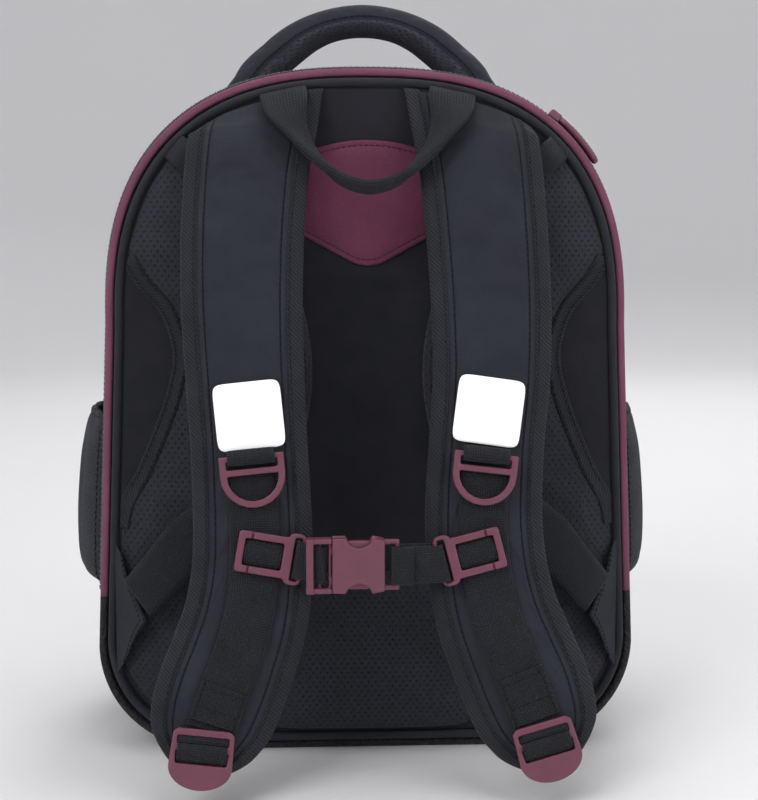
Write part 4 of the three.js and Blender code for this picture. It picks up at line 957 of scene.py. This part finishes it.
HANDLE_Y = BACK_Y + 55
HANDLE = [
    # outer x, outer z, inner x, inner z, depth
    (0, 414.7, 0, 396.4, 28), (16, 413, 8.5, 395.8, 28), (31, 408.6, 17.5, 393.6, 28),
    (45, 401.4, 26, 389.4, 28), (58, 391, 33.5, 384, 28), (70, 379.5, 40.5, 378.4, 29),
    (83, 359.8, 50, 370.4, 32),
]
HANDLE_SEAM = 1.5  # turn from the handle's outer edge, in radians
GROOVE = {"deep": 0.07, "half": 0.09}


def carry_handle():
    half = np.array(HANDLE)
    mirrored = half[:0:-1] * [-1, 1, -1, 1, 1]
    rows = smooth(np.concatenate([mirrored, half]), np.linspace(0, 1, 119))
    angle = turns(40)
    near = np.minimum(np.abs(angle - HANDLE_SEAM), np.abs(2 * np.pi - angle - HANDLE_SEAM))
    groove = 1 - GROOVE["deep"] * np.exp(-((near / GROOVE["half"]) ** 2))
    far = 0.5 * (1 + np.cos(angle) * groove)
    inner = rows[:, [2, 3]]
    across = rows[:, [0, 1]] - inner
    radial = inner[:, None] + across[:, None] * far[None, :, None]
    deep = HANDLE_Y + rows[:, 4:5] * 0.5 * np.sin(angle) * groove
    points = np.stack([radial[..., 0], deep, radial[..., 1]], 2)
    obj = surface("carry_handle_pad", points)
    dress(obj, "body_fabric", [BODY, LIT_HANDLE_MESH], "carry_handle")
    inside = np.cos(angle + np.pi / len(angle)) < math.cos(HANDLE_SEAM)
    for face, meshed in zip(obj.data.polygons, np.tile(inside, len(rows) - 1)):
        face.material_index = int(meshed)
    lines = []
    for way in (-1, 1):
        a = -way * (HANDLE_SEAM - 0.17)
        flat = inner + across * (0.5 * (1 + math.cos(a)))
        line = np.stack([flat[:, 0], HANDLE_Y + rows[:, 4] * 0.5 * math.sin(a), flat[:, 1]], 1)
        lines.append((line[4:-4] + [0, -0.25 * way, 0], np.array([0, -way, 0.2])))
    sew("handle_stitches", "body_fabric", lines)
    return obj, sewn(points, near < 0.12, 4, 4), SWELL["handle"]


HAUL = [
    # x, z, out, width, thick, way of the width in x, out and z
    (45.4, 363, 4.8, 25, 1.6, 1, 0, -0.2), (44.5, 359.5, 11.2, 25, 1.6, 1, 0, -0.2),
    (43, 351.5, 19.4, 22, 2, 1, 0.2, -0.2), (38, 340.5, 25.5, 15, 3.4, 0.85, 0.55, 0),
    (29, 328, 30.3, 12.5, 4.6, 0.5, 0.85, 0.1), (15.5, 316.4, 33, 12.5, 5, 0.18, 1, 0.3),
    (0, 312, 33.6, 12.5, 5.2, 0, 1, 0.35),
]


def haul_loop():
    half = np.array(HAUL)
    mirrored = half[-2::-1] * [-1, 1, 1, 1, 1, -1, 1, 1]
    loop = ribbon("haul_loop_webbing", np.concatenate([half, mirrored]), 1, 119, 12)
    webbing(loop, "haul_loop")


# Shoulder straps

STRAP_ROWS = [
    # left strap's x, right strap's x, z, out, half width, thickness, slant
    (58, 53.8, 354.6, 3.8, 35.5, 4, -26), (61.5, 57, 338, 15, 33.6, 8, -10),
    (64.3, 59.3, 318, 24, 32.6, 10, -1), (66.4, 61.2, 285, 35.5, 32, 10.5, 0),
    (66.7, 62.4, 250, 44.5, 31.4, 10.5, 0), (65.2, 62, 215, 51.5, 30.6, 10.5, 0),
    (63.3, 59, 180, 57.5, 30, 10.5, 0), (61.8, 57, 145, 63, 30.4, 10.5, 0),
    (61.9, 58.6, 118, 67, 30.9, 10.5, 0), (65.2, 63.4, 94, 70.5, 31.8, 10.5, 0),
    (71.5, 71, 74, 74.2, 32.5, 10.5, 0), (78.2, 78.2, 56.5, 78, 32.8, 10.5, 0),
    (83.8, 83.8, 41, 81.8, 31, 10, 0), (86.9, 86.9, 30.2, 84.4, 26, 9.5, 0),
    (89.4, 89.4, 21.6, 86.4, 17, 9, 0), (91, 91, 15.8, 87.7, 6, 8.5, 0),
]
STRAP_LAST = math.dist(STRAP_ROWS[-1][1:4], STRAP_ROWS[-2][1:4]) * (len(STRAP_ROWS) - 1)
STRAP_FACE = 0.52  # share of the thickness from a strap's middle to its face
STATION = np.linspace(0, 1, 130)


def strap_frames(side, t):
    """Middles, widths, outward directions, half widths, thicknesses and ways of a strap at places t."""
    t = np.atleast_1d(np.asarray(t, float))
    rows = smooth(STRAP_ROWS, t)
    hung = 0 if side < 0 else 1

    def middle(k):
        return smooth(STRAP_ROWS, k)[:, [hung, 3, 2]] * [side, -1, 1] + [0, BACK_Y, 0]

    along = unit(middle(np.minimum(t + 0.005, 1)) - middle(np.maximum(t - 0.005, 0)))
    wide = unit(np.cross(along, [0, 1, 0]))
    turn = -side * np.radians(rows[:, 6])
    c, s = np.cos(turn), np.sin(turn)
    wide = np.stack([wide[:, 0] * c + wide[:, 2] * s, wide[:, 1], wide[:, 2] * c - wide[:, 0] * s], 1)
    facing = unit(np.cross(along, wide))
    return middle(t), wide, facing, rows[:, 4], rows[:, 5], along


def strap_place(z):
    """The place on a strap that lies at a height."""
    t = np.linspace(0, 1, 2000)
    return float(np.interp(-z, -smooth(STRAP_ROWS, t)[:, 2], t))


def on_strap(side, t, across, high):
    middle, wide, facing, _, thick, _ = strap_frames(side, t)
    across = np.broadcast_to(across, len(middle))
    return middle + wide * across[:, None] + facing * (STRAP_FACE * thick + high)[:, None]


def strap_line(side, edge, drawn, share, lift=0.0):
    """A line drawn in from a strap's edge, at a share of its thickness plus a lift, and its outward way."""
    middle, wide, facing, half, thick, _ = strap_frames(side, STATION * (1 - drawn / STRAP_LAST))
    line = middle + wide * (edge * (half - drawn))[:, None] + facing * (share * thick + lift)[:, None]
    return tuck(line), facing


def strap_lines(side, edge, section):
    return [strap_line(side, edge, *place)[0] for place in section]


TUCK_ROWS = 8
TUCK_OUT = 2.4


def tuck(line):
    """Leads the top of a line on a strap into the seam beside the piping."""
    crown = RIGHT_LINE[RIGHT_LINE[:, 1] > SHOULDER_Z][::-1]
    inside = BOARD_IN + 0.2
    outline_z = np.interp(abs(line[0, 0]) / (1 - inside / FOOT_HALF), *crown.T)
    crown_z = inside + outline_z * (HEIGHT - 2 * inside) / HEIGHT
    high = BACK_Y - line[0, 1] - STRAP_ROWS[0][3]
    seam = np.array([line[0, 0], BACK_Y - TUCK_OUT - 0.5 * high, crown_z])
    share = np.minimum(np.arange(len(line)) / TUCK_ROWS, 1)[:, None]
    return np.where(share < 1, seam * (1 - share) + line[TUCK_ROWS] * share, line)


STRAP_FRONT = [
    # drawn in from the edge, share of the thickness
    (1.6, 0.12), (2.4, 0.16), (4, 0.2), (6, 0.25), (8, 0.29), (10.4, 0.325), (11.3, 0.325), (11.6, 0.27),
    (11.8, 0.23), (12.0, 0.27), (12.3, 0.335), (13.6, 0.39), (15.5, 0.437), (17.2, 0.468), (19, 0.49),
]
STRAP_MIDDLE = np.linspace(-1, 1, 15)[1:-1]
STRAP_BACK = [(1.6, -0.12), (5, -0.25), (11.5, -0.36), (19, -0.46)]
SEAM_DRAWN = 11.8
SOFT_FROM = 11  # the first row of STRAP_FRONT that swells, just inside the seam


def strap_pad(label, side):
    left, facing = strap_line(side, -1, *STRAP_FRONT[-1])
    right, _ = strap_line(side, 1, *STRAP_FRONT[-1])
    cols = strap_lines(side, -1, STRAP_FRONT)
    for m in STRAP_MIDDLE:
        rise = (1 - m * m) * 0.5
        cols.append(left * (1 - m) / 2 + right * (1 + m) / 2 + facing * rise)
    cols += strap_lines(side, 1, STRAP_FRONT[::-1])
    soft_to = len(cols) - SOFT_FROM
    cols += strap_lines(side, 1, STRAP_BACK) + strap_lines(side, -1, STRAP_BACK[::-1])
    points = np.stack(cols, 1)
    obj = flat_piece(f"strap_{label}_pad", points, "strap_fabric", STRAP, f"strap_{label}")
    return obj, sewn(points, np.r_[0:SOFT_FROM, soft_to:len(cols)], 3, 6), SWELL["strap"]


BINDING_WIDTH = 8.3
BINDING_OUTER = [
    # drawn in from the strap's edge, share of its thickness, lift
    (BINDING_WIDTH, 0.3, 0.3), (BINDING_WIDTH - 0.3, 0.3, 1.0), (6.4, 0.265, 1.3), (5, 0.23, 1.35),
    (3, 0.185, 1.3), (1.2, 0.12, 1.1), (0.3, 0.07, 0.5), (0.1, 0.0, 0.0),
]
BINDING_LINING = [(BINDING_WIDTH, -0.3, -0.2), (1.5, -0.1, 0), (1.5, 0.1, 0), (BINDING_WIDTH, 0.3, 0.2)]
STRAP_SEAMS = [(6.9, 0.275, 1.3), (SEAM_DRAWN, 0.26, 0.1)]


def strap_binding(label, side):
    back = [(drawn, -share, -lift) for drawn, share, lift in BINDING_OUTER[-2::-1]]
    section = BINDING_OUTER + back + BINDING_LINING
    left, right = (np.stack(strap_lines(side, way, section), 1) for way in (-1, 1))
    points = np.concatenate([left, right[::-1]])
    node = f"strap_binding_{label}"
    flat_piece(node + "_twill", points, "tape", BINDING, node)
    lines = []
    for way in (-1, 1):
        for place in STRAP_SEAMS:
            line, facing = strap_line(side, way, *place)
            lines.append((line[1:-4], facing[1:-4]))
    sew(f"strap_stitches_{label}", "strap_fabric", lines)


def face_frame(side, z, across=0.0, turn=0.0):
    """Origin and axes of a place on a strap's face: across the strap, up along it and out."""
    middle, wide, facing, _, thick, along = (v[0] for v in strap_frames(side, strap_place(z)))
    a = math.radians(turn)
    x = wide * math.cos(a) - along * math.sin(a)
    y = -along * math.cos(a) - wide * math.sin(a)
    return middle + wide * across + facing * (STRAP_FACE * thick), x, y, facing


def in_frame(place, local):
    origin, x, y, z = place
    local = np.asarray(local, float)
    return origin + local[..., :1] * x + local[..., 1:2] * y + local[..., 2:3] * z


def local_band(name, place, path, width, thick):
    """A band across a strap fitting, along a path of (up, out) in the fitting's frame."""
    path = smooth(path, np.linspace(0, 1, 40))
    middle = in_frame(place, np.stack([np.zeros(len(path)), path[:, 0], path[:, 1]], 1))
    return band(name, middle, place[1], width, thick, 12)


PATCH = {"left": 195, "right": 196.6, "half": 17.3, "corner": 2 / 9}
PATCH_ROWS = [
    # share of the way from the middle to the edge, height
    (1, 0.5), (1, 1.3), (0.985, 1.65), (0.95, 1.75), (0.9, 1.7), (0.6, 1.85), (0.3, 1.95), (0.02, 2),
]
RING_Z = 174
HINGE_HIGH = 4.35
ROLL_R = 3.1
FITTING_TURN = -2.5


def reflector(label, side):
    place = face_frame(side, PATCH[label], -side, side * FITTING_TURN)
    a = turns(96)
    loop = PATCH["half"] * squared(np.stack([np.cos(a), np.sin(a)], 1), PATCH["corner"])
    rows = []
    for share, high in PATCH_ROWS:
        rows.append(in_frame(place, np.column_stack([loop * share, np.full(len(loop), high)])))
    node = f"reflector_{label}"
    flat_piece(node + "_sheet", np.stack(rows), "reflector", REFLECTIVE, node)


def ring_and_roll(label, side):
    moulded(f"d_ring_{label}", 10, body=f"ring_{label}")
    place = face_frame(side, RING_Z, -side, side * FITTING_TURN)
    turn = np.radians(np.linspace(60, 330, 14))
    roll = [(ROLL_R * math.cos(a), HINGE_HIGH + ROLL_R * math.sin(a)) for a in turn]
    path = [(4.2, 5.2)] + roll + [(4.0, 1.5)]
    web = local_band(f"ring_roll_{label}_webbing", place, path, 24, 1.2)
    webbing(web, f"ring_roll_{label}")


WEB_LOW = 0.45
WEB_THICK = 1.5
WEB_TOP, WEB_BOTTOM = 169, 38.5
OVERLAY = {"left": 59.5, "right": 65, "bottom": 41.5}


def strap_webbing(label, side):
    t = np.linspace(strap_place(WEB_TOP), strap_place(WEB_BOTTOM), 90)
    middle = on_strap(side, t, -side, WEB_LOW + WEB_THICK / 2)
    wide = strap_frames(side, t)[1]
    web = band(f"strap_webbing_{label}_weave", middle, wide, STRAP_WEB, WEB_THICK, 12)
    webbing(web, f"strap_webbing_{label}")
    t = np.linspace(strap_place(OVERLAY[label]), strap_place(OVERLAY["bottom"]), 40)
    high = WEB_LOW + WEB_THICK + 0.65
    _, wide, facing, *_ = strap_frames(side, t)
    over = band(f"webbing_overlay_{label}", on_strap(side, t, -side, high), wide, STRAP_WEB, 1.2, 12)
    webbing(over)
    edge = STRAP_WEB / 2 - 2
    lines = [(on_strap(side, t, -side + way * edge, high + 0.65), facing) for way in (-1, 1)]
    for share in (0.12, 0.6):
        across = np.linspace(-edge, edge, 30)
        k = np.full(len(across), t[0] + (t[-1] - t[0]) * share)
        lines.append((on_strap(side, k, across - side, high + 0.65), facing[0]))
    sew(f"webbing_stitches_{label}", "tape", lines, 2.6, 2.1, 0.33)


ADJUSTER = {"left": (26, 9), "right": (27.2, 0)}  # height and turn
ADJUSTER_TUCK = [(11.8, 3.4), (10.6, 5.0), (9.2, 5.9), (7.8, 6.0), (6.6, 5.2)]  # up, out
ADJUSTER_ROLL = [(6.0, 6.2), (5.2, 7.4), (3.6, 7.9), (1.8, 7.6), (0, 6.6), (-1.8, 4.8), (-3, 2.8)]
CLIP = {"z": 126, "across": 5.3, "tilt": 9}


def adjuster(label, side):
    moulded(f"adjuster_{label}", 10)
    z, turn = ADJUSTER[label]
    place = face_frame(side, z, 0, turn)
    roll = local_band(f"adjuster_roll_{label}_webbing", place, ADJUSTER_ROLL, STRAP_WEB, 1.2)
    webbing(roll, f"adjuster_roll_{label}")
    webbing(local_band(f"adjuster_tuck_{label}", place, ADJUSTER_TUCK, STRAP_WEB, 1.1))


def chest_clip(label, side):
    moulded(f"chest_clip_{label}", 9)
    place = face_frame(side, CLIP["z"], -side * CLIP["across"], side * CLIP["tilt"])
    arch = np.radians(np.linspace(0, 180, 12))
    path = [(6.5 * math.cos(a), 2.0 + 3.4 * math.sin(a) ** 0.8) for a in arch]
    webbing(local_band(f"clip_webbing_{label}", place, path, 19.2, 1.2))


LOWER_WEB = [
    # x, z, out, width, thick, way of the width in x, out and z
    (125.5, 91.2, 15.7, 25, 1.5, 0.45, -0.35, 0.88), (118, 100, 19.5, 25, 1.5, 0.5, -0.25, 0.85),
    (107.5, 112.5, 24, 25, 1.5, 0.58, -0.1, 0.78), (97, 126, 28.5, 25, 1.5, 0.65, 0, 0.75),
    (83, 138, 36, 25, 1.5, 0.75, 0.1, 0.6), (74.5, 145.5, 42, 25, 1.5, 0.85, 0.1, 0.45),
    (69, 148.5, 47.5, 25, 1.5, 0.95, 0, 0.25), (66.5, 145, 52, 25, 1.5, 1, 0, 0.1),
    (65.3, 135, 55.8, 25, 1.5, 1, 0, 0.05), (65, 116, 59, 25, 1.5, 1, 0, 0.05),
    (68, 92, 62.3, 25, 1.5, 1, 0, 0.25), (75, 68, 66.6, 25, 1.5, 1, 0, 0.35),
    (82, 47, 71.3, 25, 1.5, 1, 0, 0.35), (87, 29, 75.8, 25, 1.5, 1, 0, 0.3),
    (90, 18.6, 79.8, 20, 1.5, 1, 0, 0.25), (91, 14.6, 83, 16, 1.5, 1, 0, 0.25),
    (91.4, 12.8, 87.4, 15, 1.5, 1, 0, 0.25), (91.3, 14.2, 91.6, 15, 1.5, 1, 0, 0.25),
    (90.6, 18, 92.9, 18, 1.5, 1, 0, 0.25), (89.2, 24.6, 91.8, 24, 1.5, 1, 0, 0.28),
]
TAB = [
    (103.8, 333.9, 1.2, 15, 1.5, 0.62, 0, -0.78), (98.5, 330, 9.5, 15, 1.5, 0.62, 0, -0.78),
    (93, 326, 12.2, 15, 1.5, 0.62, 0, -0.78), (87, 322, 13.2, 15, 1.5, 0.62, 0, -0.78),
]
GUSSET = {"outer": 138.6, "out": 0.5, "thick": 1.5}
GUSSET_ROWS = [
    # z, inner edge, its distance from the panel
    (118, 137.8, 2.4), (113, 134.4, 6.6), (101, 131.3, 11.6), (90, 125.8, 16), (79.5, 120.6, 20),
    (76, 123, 18.6), (71, 126.2, 16.4), (65, 129, 13.6), (58, 131.6, 10.2), (52, 134.8, 5.8),
    (47, 137.8, 2.4),
]


def gusset(label, side):
    z = np.linspace(GUSSET_ROWS[0][0], GUSSET_ROWS[-1][0], 72)
    table = np.array(GUSSET_ROWS)
    inner, inner_out = (np.interp(-z, -table[:, 0], table[:, k])[:, None] for k in (1, 2))
    share = np.linspace(0, 1, 16)
    x = GUSSET["outer"] + (inner - GUSSET["outer"]) * share
    out = GUSSET["out"] + (inner_out - GUSSET["thick"] - GUSSET["out"]) * share
    z = np.broadcast_to(z[:, None], x.shape)
    back = np.stack([side * x, BACK_Y - out, z], 2)
    face = np.stack([side * x, BACK_Y - out - GUSSET["thick"], z], 2)
    points = np.concatenate([back, face[:, ::-1]], 1)
    obj = flat_piece(f"gusset_{label}_cloth", points, "body_fabric", BODY, f"gusset_{label}")
    lines = [(face[4:-6, k] + [0, -0.1, 0], np.array([side * 0.5, -1, 0])) for k in (-2, -4)]
    sew(f"gusset_stitches_{label}", "body_fabric", lines, 2.8, 2.2)


CHEST_WAVE = {"left": 0, "right": 0.9}  # how far the webbing beside the buckle waves


def chest_webbing(label):
    node = f"chest_webbing_{label}"
    obj = node_copy(node, "_weave")
    low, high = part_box(node)
    with editing(obj) as edit:
        bmesh.ops.remove_doubles(edit, verts=edit.verts, dist=WELD)
        long_edges = [e for e in edit.edges if e.calc_length() > 6 * MM]
        bmesh.ops.subdivide_edges(edit, edges=long_edges, cuts=12, use_grid_fill=True)
        for vert in edit.verts:
            way = math.pi * (vert.co.x - low.x) / (high.x - low.x)
            vert.co.y += CHEST_WAVE[label] * MM * math.sin(2 * way) * math.sin(way)
    tidy_normals(obj)
    obj.data.set_sharp_from_angle(angle=math.radians(40))
    flat_map(obj)
    webbing(obj, node)


def buckle():
    moulded("buckle_socket", 14)
    moulded("buckle_plug", 9)
    for label, _ in SIDES:
        chest_webbing(label)
    low, high = (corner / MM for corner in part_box("chest_webbing_right"))
    share = np.linspace(0, 1, 24)
    front = low.y - 0.8 - 1.7 * np.sin(np.pi * share)
    middle = np.stack([low.x + 1 + 10.5 * share, front, np.full(len(share), (low.z + high.z) / 2)], 1)
    webbing(band("chest_webbing_fold", middle, UPWARD, CHEST_WEB, 1.2))


# Studio

CAMERA_PLACE = (-0.040, -0.9784, 0.300)
CAMERA_TILT = 6.55
CAMERA_YAW = 2.95
CAMERA_LENS = 74.4
FLOOR_FLAT, FLOOR_BEND, WALL_TOP = 2.2, 1.4, 3.6  # in metres
LAMPS = [
    # name, place, size, watts
    ("key", (-1.3, -1.7, 1.7), 1.3, 24),
    ("fill", (1.5, -1.5, 1.0), 1.5, 13),
    ("top", (0.1, -0.1, 2.2), 1.6, 15),
    ("rear", (0.6, 1.8, 1.5), 1.2, 13),
]
LAMP_AIM = Vector((0, 0, 0.18))


def studio():
    data = bpy.data.cameras.new("camera")
    data.lens = CAMERA_LENS
    data.sensor_width = 36
    camera = add_object("camera", data)
    camera.location = CAMERA_PLACE
    camera.rotation_euler = (math.radians(90 - CAMERA_TILT), 0, math.radians(-CAMERA_YAW))
    scene.camera = camera

    profile = [(0.02, 0.0), (1.2, 0.0), (FLOOR_FLAT, 0.0)]
    for a in np.radians(np.linspace(0, 90, 16))[1:]:
        profile.append((FLOOR_FLAT + FLOOR_BEND * math.sin(a), FLOOR_BEND * (1 - math.cos(a))))
    profile.append((FLOOR_FLAT + FLOOR_BEND, WALL_TOP))
    turn = turns(96)
    rows = [np.stack([r * np.cos(turn), r * np.sin(turn), np.full(96, z)], 1) / MM for r, z in profile]
    floor = surface("floor", np.stack(rows))
    paint = Finish("floor_paint", 0.7)
    grain = paint.noise(paint.add("TexCoord", out=3), 0.4, 4)
    paint.put("Base Color", paint.mix(grain, tone(238, 238, 240), tone(243, 243, 244)))
    floor.data.materials.append(paint.material)

    for name, place, size, watts in LAMPS:
        light = bpy.data.lights.new(name, "AREA")
        light.size = size
        light.energy = watts
        lamp = add_object(name, light)
        lamp.location = place
        lamp.rotation_euler = (LAMP_AIM - Vector(place)).to_track_quat("-Z", "Y").to_euler()
    world = bpy.data.worlds.new("studio")
    world.use_nodes = True
    sky = world.node_tree.nodes["Background"].inputs
    sky["Color"].default_value = (0.9, 0.92, 0.95, 1)
    sky["Strength"].default_value = 0.5
    scene.world = world
    scene.view_settings.view_transform = "Standard"


# Assembly

BOTH_SIDES = (
    pad_tape, side_pocket, strap_binding, reflector, ring_and_roll, strap_webbing, adjuster, chest_clip,
    gusset,
)
for make in (studio, body_shell, base_boot, back_board, edge_trims, zip_fastener, zip_pull, label_patch):
    make()
haul_loop()
buckle()
padded = [lumbar_pad(), carry_handle()]
for label, side in SIDES:
    padded += [side_pad(label, side), strap_pad(label, side)]
    for make in BOTH_SIDES:
        make(label, side)
    for node, table, count in [("lower_webbing", LOWER_WEB, 140), ("strap_tab", TAB, 24)]:
        web = ribbon(f"{node}_{label}_weave", table, side, count)
        webbing(web, f"{node}_{label}")
inflate(padded)
for obj, *_ in padded:
    subdivide(obj)
